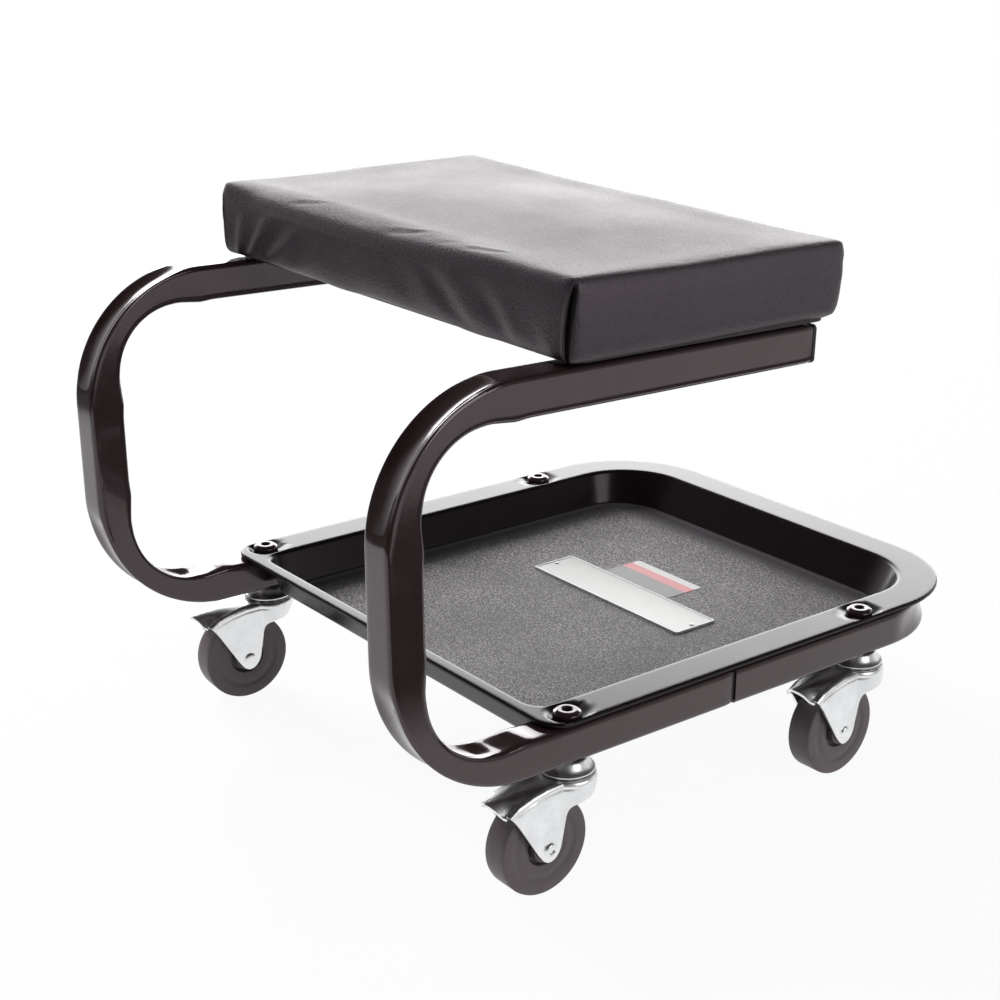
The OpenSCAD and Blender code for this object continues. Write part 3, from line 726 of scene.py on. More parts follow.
def bent_tube(name, legs, turns, skins, cores, sizes, place):
    """A square tube drawn round two bends and flattened at each, with its two ends eased."""
    tube = sizes.tube / MM
    first, last = (Bend(turn, skin, core, tube) for turn, skin, core in zip(turns, skins, cores))
    heading = (math.pi, math.pi - turns[0], math.pi - turns[0] - turns[1])
    way = [np.array([math.cos(a), math.sin(a)]) for a in heading]
    inward = np.array([math.cos(heading[2] - math.pi / 2), math.sin(heading[2] - math.pi / 2)])
    corner = legs[1] * way[1]
    piece = tube_section(name, (legs[0] * MM, tube / 2 * MM, 0), sizes)
    draw_along(legs[0] - first.reach_core, way[0])
    draw_round(first.turn, first.centre)
    draw_along(legs[1] - first.reach_core - last.reach_core, way[1])
    draw_round(last.turn, corner + way[2] * last.centre[0] + inward * last.centre[1])
    draw_along(legs[2] - last.reach_core, way[2])
    done_editing()
    at = points_of(piece) / MM
    flat = at[:, :2]
    pressing = (at[:, 2], sizes.bend_trough / MM, sizes.skin_trough / MM, WRINKLE)
    last_frame = np.array([way[2], inward])
    at_first = first.pressed(flat, *pressing)
    at_last = last.pressed((flat - corner) @ last_frame.T, *pressing) @ last_frame + corner
    near_first = flat @ way[1] < legs[1] / 2
    at[:, :2] = np.where(near_first[:, None], at_first, at_last)
    eased_end(at, np.array([legs[0], 0.0]), way[0], tube)
    eased_end(at, corner + legs[2] * way[2], -way[2], tube)
    put_points(piece, at * MM)
    moved(piece, place)
    closed_up(piece)
    smooth(piece, 40)
    return piece


class SEAT_OT_side_tubes(bpy.types.Operator):
    """Bends the two C-shaped side frames out of square tube"""

    bl_idname = "seat.side_tubes"
    bl_label = "Side tubes"

    def execute(self, context):
        sizes = context.scene.seat_sizes
        turns = (math.pi / 2 - POST_LEAN, UPPER_TURN)
        bottom_y = TOP_CORNER_Y + (FRAME_TOP - RAIL_LOW) * math.tan(POST_LEAN)
        legs = (JOINT_Y - bottom_y, (FRAME_TOP - RAIL_LOW) / math.cos(POST_LEAN), UPPER_RAIL)
        middle = HALF_WIDTH - sizes.tube / MM / 2
        pieces = []
        for side, x in (("left", -middle), ("right", middle)):
            place = Matrix(((0, 0, 1, x * MM), (1, 0, 0, bottom_y * MM),
                            (0, 1, 0, RAIL_LOW * MM), (0, 0, 0, 1)))
            piece = bent_tube(f"{side}_side_tube", legs, turns, (LOWER_SKIN, UPPER_SKIN),
                              (LOWER_BEND, UPPER_BEND), sizes, place)
            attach(piece, "frame")
            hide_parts(f"{side}_side_frame")
            pieces.append(piece)
        gloss_paint(context.scene.seat_colours).wear(pieces)
        return {"FINISHED"}


class SEAT_OT_rear_tube(bpy.types.Operator):
    """Bends the U-shaped tube that joins the side frames behind the tray"""

    bl_idname = "seat.rear_tube"
    bl_label = "Rear tube"

    def execute(self, context):
        square = math.pi / 2
        legs = (REAR_FACE - JOINT_Y, 2 * HALF_WIDTH, REAR_FACE - JOINT_Y)
        place = Matrix(((0, -1, 0, HALF_WIDTH * MM), (-1, 0, 0, REAR_FACE * MM),
                        (0, 0, 1, (RAIL_LOW + RAIL_TOP) / 2 * MM), (0, 0, 0, 1)))
        piece = bent_tube("rear_u_tube", legs, (square, square), (REAR_SKIN, REAR_SKIN),
                          (REAR_BEND, REAR_BEND), context.scene.seat_sizes, place)
        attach(piece, "frame")
        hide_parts("rear_tube")
        gloss_paint(context.scene.seat_colours).wear([piece])
        return {"FINISHED"}


# Sizes of the pressing, in millimetres: how far each wall leans in, and the seats for the cap nuts
SIDE_LEAN, FRONT_LEAN, REAR_LEAN = 8.0, 8.5, 17.0
DISH_RADIUS, DISH_FLAT, DISH_DEPTH = 15.0, 10.0, 2.75
# The flat of the rim starts behind its rolled edge, and ends before the bend down into the well
RIM_ROLL, RIM_BREAK = 4.0, 5.0


def tray_wall(lean):
    """A wall's section as (distance in from the well's edge, height): its top bend, slope, foot and floor."""
    return np.array(bend_line([(-RIM_BREAK, RIM_TOP, 0), (0.2, RIM_TOP, 4.2), (lean, TRAY_FLOOR, 5.0),
                               (lean + 4.2, TRAY_FLOOR, 0)], 6))


def tray_rows():
    """Rings of points from the rolled lip over the rim and down the walls to the edge of the floor."""
    outer, out_way = rounded_ring(HALF_WIDTH, TRAY_FRONT, TRAY_REAR, RIM_FRONT_RADIUS, RIM_REAR_RADIUS)
    inner, in_way = rounded_ring(HALF_WIDTH - RIM_SIDE, TRAY_FRONT + RIM_FRONT, TRAY_REAR - RIM_REAR,
                                 WELL_FRONT_RADIUS, WELL_REAR_RADIUS)
    lip = bend_line([(1.7, RAIL_TOP + 0.05, 0), (1.7, RIM_TOP - 2.5, 0), (0.05, RIM_TOP - 2.4, 0.3),
                     (0, RIM_TOP, 1.7), (RIM_ROLL, RIM_TOP, 0)], 5)
    rows = [lifted(outer - out_way * inset, z) for inset, z in lip]
    for share in np.linspace(0, 1, 15)[1:-1]:
        ring = (outer - out_way * RIM_ROLL) * (1 - share) + (inner + in_way * RIM_BREAK) * share
        rows.append(lifted(ring, RIM_TOP))
    # Side walls and end walls blend round the corners
    share = in_way**2
    for side, front, rear in zip(tray_wall(SIDE_LEAN), tray_wall(FRONT_LEAN), tray_wall(REAR_LEAN)):
        end = np.where(in_way[:, 1:2] < 0, front, rear)
        place = side * share[:, :1] + end * share[:, 1:]
        rows.append(np.column_stack([inner - in_way * place[:, :1], place[:, 1]]))
    return np.array(rows)


def dished(rows):
    """Presses a round seat for each cap nut into the rim."""
    deep = np.zeros(rows.shape[:2])
    for x, y in NUT_PLACES:
        away = np.hypot(rows[:, :, 0] - x, rows[:, :, 1] - y)
        deep = np.maximum(deep, fade(away, DISH_RADIUS, DISH_FLAT))
    rows[:, :, 2] -= np.where(rows[:, :, 2] > RIM_TOP - 0.01, deep * DISH_DEPTH, 0)
    return rows


def floor_edges(mesh):
    """Which edges run round the open floor: those at its height that only one face uses."""
    faces_on = Counter(key for face in mesh.polygons for key in face.edge_keys)
    low = [vertex.co.z < (TRAY_FLOOR + 0.05) * MM for vertex in mesh.vertices]
    return [faces_on[edge.key] == 1 and all(low[i] for i in edge.vertices) for edge in mesh.edges]


class SEAT_OT_tray(bpy.types.Operator):
    """Presses the tray: rolled rim, dished seats for the nuts, sloping walls and a rounded foot"""

    bl_idname = "seat.tray"
    bl_label = "Tray"

    def execute(self, context):
        piece = patch("tray_pan", dished(tray_rows()))
        closed_up(piece, outward=False)
        choose(piece, edges=floor_edges(piece.data))
        editing("EDGE")
        bpy.ops.mesh.edge_face_add()
        bpy.ops.mesh.select_mode(type="FACE")
        bpy.ops.mesh.select_all(action="SELECT")
        bpy.ops.mesh.normals_make_consistent(inside=False)
        done_editing()
        facing_up(piece)
        apply(piece, "SOLIDIFY", thickness=context.scene.seat_sizes.sheet, offset=-1.0)
        smooth(piece, 50)
        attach(piece, "frame")
        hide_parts("tray")
        tray_paint(context.scene.seat_colours).wear([piece])
        return {"FINISHED"}


class SEAT_OT_cap_nuts(bpy.types.Operator):
    """Turns the four socket-headed cap nuts that hold the tray down"""

    bl_idname = "seat.cap_nuts"
    bl_label = "Cap nuts"

    def execute(self, context):
        # From the floor of the socket out over the crown and down to the flange
        profile = bend_line([(0, 2.2, 0), (3.3, 2.2, 0), (3.3, 4.9, 0.3), (3.9, 5.5, 0.3), (6.6, 5.5, 1.2),
                             (9.3, 3.9, 1.6), (9.3, 0.4, 0.5), (8.8, 0, 0.2), (0, 0, 0)], 4)
        first = turned("cap_nut", profile, 56)
        pieces = []
        for n, (x, y) in enumerate(NUT_PLACES, 1):
            place = Matrix.Translation(Vector((x, y, RAIL_TOP + 1.2)) * MM)
            pieces.append(moved(copied(first, f"cap_nut_{n}"), place))
        bpy.data.objects.remove(first)
        piece = joined(pieces, "cap_nuts")
        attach(piece, "frame")
        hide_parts("tray_cap_nuts")
        gloss_paint(context.scene.seat_colours).wear([piece])
        return {"FINISHED"}


# Sizes of a caster, in millimetres. Its axes start at its kingpin under the rail, with y away from the wheel
HALF_YOKE = 14.6
RACE_RADIUS = 20.0
RACE_TOP = -9.4
STEM_HOLE = 6.1
YOKE_SHEET = 2.1

# The lower edge of a yoke seen from the side, from the tip of its hood round the leg's foot: (y, z)
YOKE_EDGE = np.array([
    (-65.4, -14.3), (-63.2, -15.2), (-60.0, -17.2), (-56.8, -19.9), (-53.4, -23.4), (-50.8, -26.6),
    (-48.2, -30.4), (-40.7, -42.4), (-34.1, -53.0), (-31.4, -57.0), (-28.8, -60.2), (-26.6, -61.9),
    (-24.0, -62.7), (-21.2, -62.0), (-18.4, -60.2), (-16.2, -57.2), (-14.6, -53.3), (-13.6, -47.0),
    (-12.7, -38.0), (-12.0, -32.0), (-10.9, -28.2), (-9.2, -26.2), (-5.4, -24.8), (0.0, -23.7)])

# The ridge where the hood turns down into the leg: (y, z)
YOKE_RIDGE = np.array([(-66, -21.6), (-56, -20.4), (-49, -16), (-37.2, -12.3), (-25.2, -10),
                       (-13.1, -9.45), (RACE_RADIUS, RACE_TOP)])

# The lower edge of the race, from the leg round to the rear: (y, z)
RACE_EDGE = np.array([(0, -23.7), (4, -22.9), (7.8, -21.4), (11.4, -17.8), (13.4, -15.6),
                      (RACE_RADIUS, -14.8)])


def yoke_section(widest, high, ridge, corner, bead):
    """Points (distance out, height) across half the hood and leg, from the middle to below the foot."""
    out = np.linspace(0, widest - corner, 40)
    top = high + (ridge - high) * (out / max(widest - corner, 0.1)) ** 2
    angle = np.linspace(0, math.pi / 2, 16)[1:]
    bent = np.column_stack([widest - corner + corner * np.sin(angle), ridge - corner * (1 - np.cos(angle))])
    down = np.linspace(ridge - corner, -70, 240)[1:]
    dip = bead * hump(down, ridge - corner - 1.1, 0.8)
    return np.vstack([np.column_stack([out, top]), bent, np.column_stack([widest - dip, down])])


def yoke_row(line, stop, y=0.0, turn=0.0):
    """Columns spread over a section up to where it stops, set at y or turned about the kingpin."""
    run = run_of(line)
    knee = min(23.0, run[stop] * 0.82)
    s = np.concatenate([np.linspace(0, knee, 34), np.linspace(knee, run[stop], 15)[1:]])
    out, high = np.interp(s, run, line[:, 0]), np.interp(s, run, line[:, 1])
    # A ball groove is pressed round the kingpin
    groove = 2.7**2 - (np.hypot(out, y) - 13.4) ** 2
    high = high - np.clip(np.sqrt(np.maximum(groove, 0)) - 1.6, 0, 2) * (high > RACE_TOP - 0.2)
    half = np.column_stack([out * math.cos(turn), y + out * math.sin(turn), high])
    return np.vstack([half[:0:-1] * (-1, 1, 1), half])


def yoke_rows():
    """Stations along a yoke from the tip of its hood to the rear of its race, as rows of points."""
    run = run_of(YOKE_EDGE)
    at = np.linspace(0, run[-1], 120)
    stations = np.column_stack([np.interp(at, run, YOKE_EDGE[:, 0]), np.interp(at, run, YOKE_EDGE[:, 1])])
    for _ in range(3):
        stations[1:-1] = (stations[:-2] + 2 * stations[1:-1] + stations[2:]) / 4
    rows = []
    for y, low in stations:
        high = float(RACE_TOP - 5.0 * fade(-y, 12.0, 82.0))
        ridge = np.interp(y, YOKE_RIDGE[:, 0], YOKE_RIDGE[:, 1])
        widest = max(HALF_YOKE, math.sqrt(max(RACE_RADIUS**2 - y * y, 0))) if y > -14 else HALF_YOKE
        bead = 0.55 * float(fade(y, -53, -49) * fade(y, -4, -12))
        line = yoke_section(widest, high, ridge, corner=3.6, bead=bead)
        if y < -56.8:
            stop = int(np.argmax(line[:, 0] >= 14.0 * ((y + 65.6) / 8.8) ** 0.75))
        else:
            stop = int(np.argmax(line[:, 1] <= low)) if (line[:, 1] <= low).any() else len(line) - 1
        rows.append(yoke_row(line, max(stop, 3), y=y))
    line = yoke_section(RACE_RADIUS, RACE_TOP, RACE_TOP, corner=3.0, bead=0.0)
    for turn in np.linspace(0, math.pi / 2, 30)[1:]:
        low = np.interp(RACE_RADIUS * math.sin(turn), RACE_EDGE[:, 0], RACE_EDGE[:, 1])
        rows.append(yoke_row(line, int(np.argmax(line[:, 1] <= low)), turn=turn))
    return np.array(rows)


def pitted(rows):
    """A yoke's rows with a small pit in the outer face of the right leg."""
    rows = rows.copy()
    away = np.hypot((rows[:, :, 1] + 37.6) / 0.8, (rows[:, :, 2] + 32.4) / 1.0)
    rows[:, :, 0] -= np.where(rows[:, :, 0] > 13.5, 0.9 * np.exp(-(away**2)), 0)
    return rows


def caster_place(corner):
    """The frame of a caster: origin at its kingpin under the rail, with y away from its wheel."""
    kingpin, axle = KINGPINS[corner], middle_of(f"axle_{corner}")
    back = Vector((kingpin.x - axle.x, kingpin.y - axle.y, 0)).normalized()
    across = back.cross(Vector((0, 0, 1)))
    turn = Matrix((across, back, (0, 0, 1))).transposed().to_4x4()
    return Matrix.Translation(Vector((kingpin.x, kingpin.y, RAIL_LOW * MM))) @ turn


def pressed_yoke(name, rows):
    """A yoke out of one sheet, with its stem hole cut."""
    yoke = closed_up(patch(name, rows), outward=False)
    choose(yoke, faces=[math.hypot(*face.center.xy) < STEM_HOLE * MM for face in yoke.data.polygons])
    editing()
    bpy.ops.mesh.delete(type="FACE")
    bpy.ops.mesh.select_all(action="SELECT")
    bpy.ops.mesh.normals_make_consistent(inside=False)
    done_editing()
    facing_up(yoke)
    apply(yoke, "SOLIDIFY", thickness=YOKE_SHEET * MM, offset=-1.0)
    ease_edges(yoke, 0.25, 55)
    smooth(yoke, 40)
    return yoke


def wheel_rivet(corner, place):
    """The axle as a rivet with two domed heads; the outer head of the front right one has a dimple."""
    if corner == "front_right":
        head = [(0, 0.5), (1.9, 0.6), (2.5, 1.1), (3.1, 1.75), (3.7, 1.8), (4.3, 1.4), (4.7, 0.6), (4.8, 0)]
    else:
        head = [(0, 1.75), (1.6, 1.72), (2.9, 1.55), (3.7, 1.2), (4.3, 0.6), (4.5, 0)]
    inner_head = [(4.5, 0), (4.3, 0.6), (3.7, 1.2), (1.6, 1.72), (0, 1.75)]
    profile = [(r, HALF_YOKE + h) for r, h in head] + [(3.2, HALF_YOKE), (3.2, -HALF_YOKE)]
    profile += [(r, -HALF_YOKE - h) for r, h in inner_head]
    axle = turned(f"wheel_rivet_{corner}", profile, 48)
    across = (place.to_3x3() @ Vector((1, 0, 0))).normalized()
    turn = Vector((0, 0, 1)).rotation_difference(across).to_matrix().to_4x4()
    return moved(axle, Matrix.Translation(middle_of(f"axle_{corner}")) @ turn)


class SEAT_OT_casters(bpy.types.Operator):
    """Presses the four yokes, and turns their top plates and the rivets that their wheels run on"""

    bl_idname = "seat.casters"
    bl_label = "Casters"

    def execute(self, context):
        # The top plate's dish, from its stem hole out under the rim and back over the top
        dish = [(STEM_HOLE, -7.3), (16.4, -7.3), (17.5, -8.2), (18.3, -8.3), (18.75, -7.8), (18.7, -7.1),
                (18.2, -6.6), (17.3, -6.3), (16.4, -5.7), (15.4, -4.6), (14.4, -3.0), (13.8, -1.6),
                (13.3, -0.6), (12.7, -0.15), (11.9, 0.0), (STEM_HOLE, 0.0), (STEM_HOLE, -7.3)]
        rows = yoke_rows()
        pieces, plates = [], []
        for corner in CORNERS:
            place = caster_place(corner)
            yoke = pressed_yoke(f"caster_yoke_{corner}", pitted(rows) if corner == "front_right" else rows)
            moved(yoke, place)
            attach(yoke, f"swivel_{corner}")
            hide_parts(f"yoke_{corner}")
            plates.append(moved(turned(f"caster_plate_{corner}", dish, 96), place))
            axle = wheel_rivet(corner, place)
            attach(axle, f"swivel_{corner}")
            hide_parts(f"axle_{corner}")
            pieces += [yoke, axle]
        plate = joined(plates, "caster_top_dishes")
        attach(plate, "frame")
        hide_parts("caster_top_plates")
        zinc_plate(context.scene.seat_colours).wear(pieces + [plate])
        return {"FINISHED"}


def wheel_profile(r, h):
    """Section of a wheel of radius r and half width h: hub gap, face rings and tread, on both sides."""
    face = [(6.1, 11.8), (9.6, 11.8), (10.2, 11.2), (10.4, 5.2), (12.6, 5.0), (13.1, 5.4), (13.4, h - 1.1),
            (13.9, h - 0.6), (16.8, h - 0.35), (17.4, h - 0.25), (20.6, h - 0.3), (21.2, h - 0.65),
            (23.6, h - 0.7), (24.4, h - 0.55), (25.2, h - 0.1), (26.0, h), (r - 1.5, h), (r - 0.75, h - 0.15),
            (r - 0.2, h - 0.6), (r - 0.02, h - 1.3), (r, 3.0)]
    return face + [(radius, -height) for radius, height in reversed(face)] + [face[0]]


class SEAT_OT_wheels(bpy.types.Operator):
    """Turns the four solid wheels, with their shallow face rings, deep hub gap and moulding marks"""

    bl_idname = "seat.wheels"
    bl_label = "Wheels"

    def execute(self, context):
        sizes = context.scene.seat_sizes
        r, h = sizes.wheel_diameter / MM / 2, sizes.wheel_width / MM / 2
        mark = [(0, -0.3), (0.8, -0.25), (1.0, 0.15), (1.4, 0.25), (1.9, 0.1), (2.1, -0.5), (0, -0.5)]
        pieces = []
        for corner in CORNERS:
            wheel = turned(f"wheel_{corner}_solid", wheel_profile(r, h), 160)
            ring = turned(f"moulding_ring_{corner}", mark, 24)
            ring_x = -12.1 if corner == "front_right" else -14.4
            moved(ring, Matrix.Translation(Vector((ring_x, -26.5, h)) * MM))
            joined([wheel, ring], wheel.name)
            place = caster_place(corner).to_3x3()
            turn = Matrix([place @ Vector(axis) for axis in ((0, 0, 1), (0, 1, 0), (1, 0, 0))]).transposed()
            moved(wheel, Matrix.Translation(middle_of(f"axle_{corner}")) @ turn.to_4x4())
            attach(wheel, f"wheel_{corner}")
            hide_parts(f"wheel_{corner}")
            pieces.append(wheel)
        wheel_plastic(context.scene.seat_colours).wear(pieces)
        return {"FINISHED"}


# Sizes of the cushion, in millimetres. Its middle is given in the seat's axes
CUSHION_MIDDLE = Vector((-1.0, 243.2, 0))
HEM = 28.0
BOARD_RECESS = 12.5
FORM_RADIUS = 6.0
CROWN_START = 30.0
LARGEST_SWELL = 0.5
LIP_DROP, REAR_RISE = 6.0, 4.2

# Pulls in the front face: place on the hem, lean, width, depth, top and foot
PULLS = ((-184, 0.25, 8.0, 1.0, 44, 2), (-170, 0.75, 10.0, 1.5, 48, 3), (-148, 1.2, 14.0, 1.4, 44, 4),
         (-112, 1.3, 17.0, 0.7, 40, 8), (-40, 0.3, 24.0, 0.5, 44, 12), (44, -0.5, 22.0, 0.8, 50, 10),
         (98, -1.2, 17.0, 1.4, 50, 6), (140, -0.8, 13.0, 1.3, 44, 4), (172, -0.4, 10.0, 0.8, 28, 2))

# Creases near the front edge of the top: place, length, depth, slant and distance back from the edge
CREASES = ((-102, 8, 0.8, 0.25, 10), (-90, 6, 0.5, 0.4, 14), (14, 11, 1.1, 0.12, 8), (30, 8, 0.8, 0.3, 12),
           (96, 10, 0.7, 0.2, 9), (112, 8, 0.6, 0.35, 13), (-30, 10, 0.3, -0.1, 9), (66, 7, 0.4, 0.2, 8))


def cushion_reach(sizes):
    """Half the cushion's width and depth, and its height, in millimetres."""
    return sizes.cushion_width / MM / 2, sizes.cushion_depth / MM / 2, sizes.cushion_height / MM


def cushion_form(sizes):
    """The cushion before it swells: rings of a rounded box, tucked in underneath round a board's recess."""
    half_x, half_v, high = np.subtract(cushion_reach(sizes), (0.9, 0.9, 1.2))
    crown = sizes.crown / MM
    side = bend_line([(HEM, BOARD_RECESS, 0), (HEM, 1.2, 0.5), (1.2, 1.2, 6.0), (0.0, 18.0, 0),
                      (-0.3, high * 0.6, 0), (0.2, high, 4.5), (CROWN_START, high, 0)], 6)
    ring, way = rounded_ring(half_x, -half_v, half_v, FORM_RADIUS, FORM_RADIUS,
                             side_steps=46, end_steps=76, corner_steps=8)
    rows = [lifted((ring - way * HEM) * (1 - share), BOARD_RECESS) for share in np.linspace(1, 0, 12)[:-1]]
    for inset, z in side:
        place = ring - way * inset
        # The rear side leans in towards the hem
        place[:, 1] -= 5.0 * fade(place[:, 1], half_v - 20, half_v - 4) * fade(40 - z, 0, 60)
        rows.append(lifted(place, z))
    for share in np.linspace(0, 1, 24)[1:]:
        flat = (ring - way * CROWN_START) * (1 - share)
        bulge = np.clip(1 - (flat / (half_x - CROWN_START, half_v - CROWN_START)) ** 2, 0, 1) ** 1.4
        rows.append(lifted(flat, high + crown * bulge[:, 0] * bulge[:, 1]))
    return np.array(rows)


def swell(piece):
    """Lets air swell the cover a little, as foam does, and holds it near its fitted shape."""
    scene = bpy.context.scene
    still = points_of(piece)
    only(piece)
    cloth = piece.modifiers.new("Swell", "CLOTH")
    cover = {"quality": 5, "mass": 0.3, "tension_stiffness": 60, "compression_stiffness": 60,
             "shear_stiffness": 20, "bending_stiffness": 3, "use_pressure": True, "uniform_pressure_force": 4}
    for key, value in cover.items():
        setattr(cloth.settings, key, value)
    cloth.settings.effector_weights.gravity = 0
    cloth.collision_settings.use_self_collision = False
    for number in range(1, 15):
        scene.frame_set(number)
    bpy.ops.object.modifier_apply(modifier=cloth.name)
    shift = points_of(piece) - still
    reach = np.linalg.norm(shift, axis=1)
    held = np.minimum(1, LARGEST_SWELL * MM / np.maximum(reach, 1e-9))
    put_points(piece, still + shift * held[:, None])
    scene.frame_set(1)


def hem_waves(x, v, w, ends, half_x):
    """Heights with the hem lifted: in slow waves between the rails, and over them towards the rear."""
    between = fade(half_x - 26 - np.abs(x), 0, 24)
    wave = 0.6 + 1.0 * np.sin(x / 27.0 + 0.6) + 0.6 * np.sin(x / 11.5 + 2.0)
    low = fade(12 - w, 0, 12)
    lift = w + ends * low * between * wave
    return lift + 2.4 * low * fade(v, -60, 80) * fade(np.abs(x), half_x - 14, half_x - 3)


def pulled(x, v, w, front, high):
    """Lays long soft dimples into the front face, between its upper edge and the hem."""
    for place, lean, width, depth, top, foot in PULLS:
        middle = place + lean * (w - 4)
        spread = width * (0.6 + 0.4 * np.clip(w / high, 0, 1))
        shape = hump(x, middle, spread) - 0.55 * hump(x, middle + spread * 1.5, spread)
        v = v + front * depth * shape * fade(top - w, 0, 24) * fade(w, foot - 6, foot + 10)
    return v


def creased(x, v, w, half_v, high):
    """Lays short creases into the top, close behind its front edge."""
    for place, length, depth, slant, back in CREASES:
        across = (v + half_v - back - slant * (x - place)) / 2.6
        crease = hump(x, place, length) * (hump(across, 0, 1) - 0.5 * hump(across, 1.7, 1))
        w = w - 0.8 * depth * crease * fade(w, high - 12, high - 4)
    return w


def upholstered(at, sizes):
    """Folds laid one by one. at is in the seat's axes, in millimetres, from the middle of the cushion."""
    half_x, half_v, high = cushion_reach(sizes)
    x, v, w = at.T.copy()
    front, rear = fade(-v, half_v - 12, half_v - 3), fade(v, half_v - 12, half_v - 3)
    w = hem_waves(x, v, w, front + rear, half_x)
    v = pulled(x, v, w, front, high)
    w = creased(x, v, w, half_v, high)
    # The front edge of the top rolls over softly, most on the left
    roll = np.clip((24 - half_v - v) / 24, 0, 1) ** 1.8
    w = w - LIP_DROP * roll * fade(x, -202, -150) * fade(-x, -120, 0) * fade(w, high - 20, high - 3)
    # Slow hand-made unevenness, and foam that stands higher towards the rear left
    soft = (0.3 * np.sin(x / 31.0 + 1.3 * np.sin(v / 37.0))
            + 0.25 * np.sin(v / 23.0 + 0.9 * np.sin(x / 41.0)))
    proud = REAR_RISE * np.clip(0.5 - x / half_x / 2, 0, 1) * np.clip(0.5 + v / half_v / 2, 0, 1)
    return np.column_stack([x, v, w + (soft + proud) * fade(w, high - 16, high - 1)])


def pleat(at, sx, sv, half_x, half_v, high, depth):
    """One corner's fold: how far it moves each point out along the diagonal, and how deep inside it lies.

    The front flap ends in a thin rolled lip, and the side dives in behind it, widest in its upper half.
    """
    x, v, w = at[:, 0] * sx, at[:, 1] * sv, at[:, 2]
    # Distance along the outline from the corner: negative on the front or rear face, positive on the side
    along = (half_v - v) - (half_x - x)
    near = (x > half_x - 26) & (v > half_v - 26)
    rise = np.clip((high - 2 - w) / (high - 2), 0, 1)
    past = along - 0.2 + 6.6 * np.sin(0.78 * np.pi * rise) ** 0.8
    wide = 0.4 + 3.8 * np.sin(np.pi * np.clip(0.1 + 0.84 * rise**0.7, 0, 1)) ** 0.9
    deep = depth * fade(rise, 0.0, 0.2) * (1 - 0.6 * fade(rise, 0.6, 1.0))
    valley = fade(past, 0.0, 1.0) * (1 - fade(past, 0.4 * wide, 1.5 * wide + 1.0))
    skin = fade(np.maximum(x - half_x, v - half_v), -12, -5) * near
    lip = 1.1 * hump(past, -1.3, 1.3) * fade(rise, 0.02, 0.2)
    return (lip - deep * valley) * skin, valley * fade(rise, 0.0, 0.15) * skin


def pleated(at, sizes):
    """Folds the four corners; gives the points' places, and how deep each lies in a fold from 0 to 1, for
    painted shade.
    """
    diagonal = 0.7071
    inside = np.zeros(len(at))
    for sx, sv in ((1, -1), (-1, -1), (1, 1), (-1, 1)):
        # The rear corners are folded flatter, and get half the painted shade
        share, dark = (1.0, 1.0) if sv < 0 else (0.25, 0.5)
        push, fold = pleat(at, sx, sv, *cushion_reach(sizes), sizes.pleat_depth / MM * share)
        at = at + np.array([sx * diagonal, sv * diagonal, 0.0]) * push[:, None]
        inside = np.maximum(inside, fold * dark)
    return at, inside


class SEAT_OT_cushion(bpy.types.Operator):
    """Upholsters the cushion: swells a fitted cover, then lays in its corner pleats, pulls and creases"""

    bl_idname = "seat.cushion"
    bl_label = "Cushion"

    def execute(self, context):
        sizes = context.scene.seat_sizes
        piece = patch("seat_cushion", cushion_form(sizes))
        closed_up(piece)
        apply(piece, "REMESH", mode="VOXEL", voxel_size=4.0 * MM)
        swell(piece)
        apply(piece, "SUBSURF", levels=1)
        # Finer faces at the corners, where the pleats are laid
        for reach in (20.0 * MM, 14.0 * MM):
            x, y = sizes.cushion_width / 2 - reach, sizes.cushion_depth / 2 - reach
            choose(piece, faces=[abs(face.center.x) > x and abs(face.center.y) > y
                                 for face in piece.data.polygons])
            only(piece)
            editing()
            bpy.ops.mesh.subdivide(number_cuts=1, smoothness=0.0)
            done_editing()
        at, inside = pleated(upholstered(points_of(piece) / MM, sizes), sizes)
        put_points(piece, at * MM)
        # The depth in the folds is kept for the vinyl's painted shade
        piece.data.attributes.new("fold", "FLOAT", "POINT").data.foreach_set("value", inside)
        smooth(piece, 75)
        moved(piece, SEAT_AXES @ Matrix.Translation(CUSHION_MIDDLE * MM))
        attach(piece, "frame")
        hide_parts("seat_cover", "seat_foam")
        black_vinyl(context.scene.seat_colours).wear([piece])
        return {"FINISHED"}


def badge_plate():
    """A plate with rounded corners and a narrow border raised above its field."""
    low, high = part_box("badge_plate")
    thick = high.z - low.z
    nothing_selected()
    bpy.ops.mesh.primitive_cube_add(size=1, location=(low + high) / 2, scale=high - low)
    plate = named("badge")
    bpy.ops.object.transform_apply(location=True, rotation=True, scale=True)
    choose(plate, edges=[abs(abs(span(plate, edge).z) - thick) < 1e-6 for edge in plate.data.edges])
    editing("EDGE")
    bpy.ops.mesh.bevel(offset=2.0 * MM, segments=5, affect="EDGES")
    done_editing()
    choose(plate, faces=[face.normal.z > 0.9 for face in plate.data.polygons])
    editing()
    bpy.ops.mesh.inset(thickness=1.2 * MM)
    bpy.ops.mesh.inset(thickness=0.4 * MM)
    bpy.ops.transform.translate(value=(0, 0, -0.5 * MM))
    done_editing()
    ease_edges(plate, 0.12, 35)
    smooth(plate, 20)
    return plate


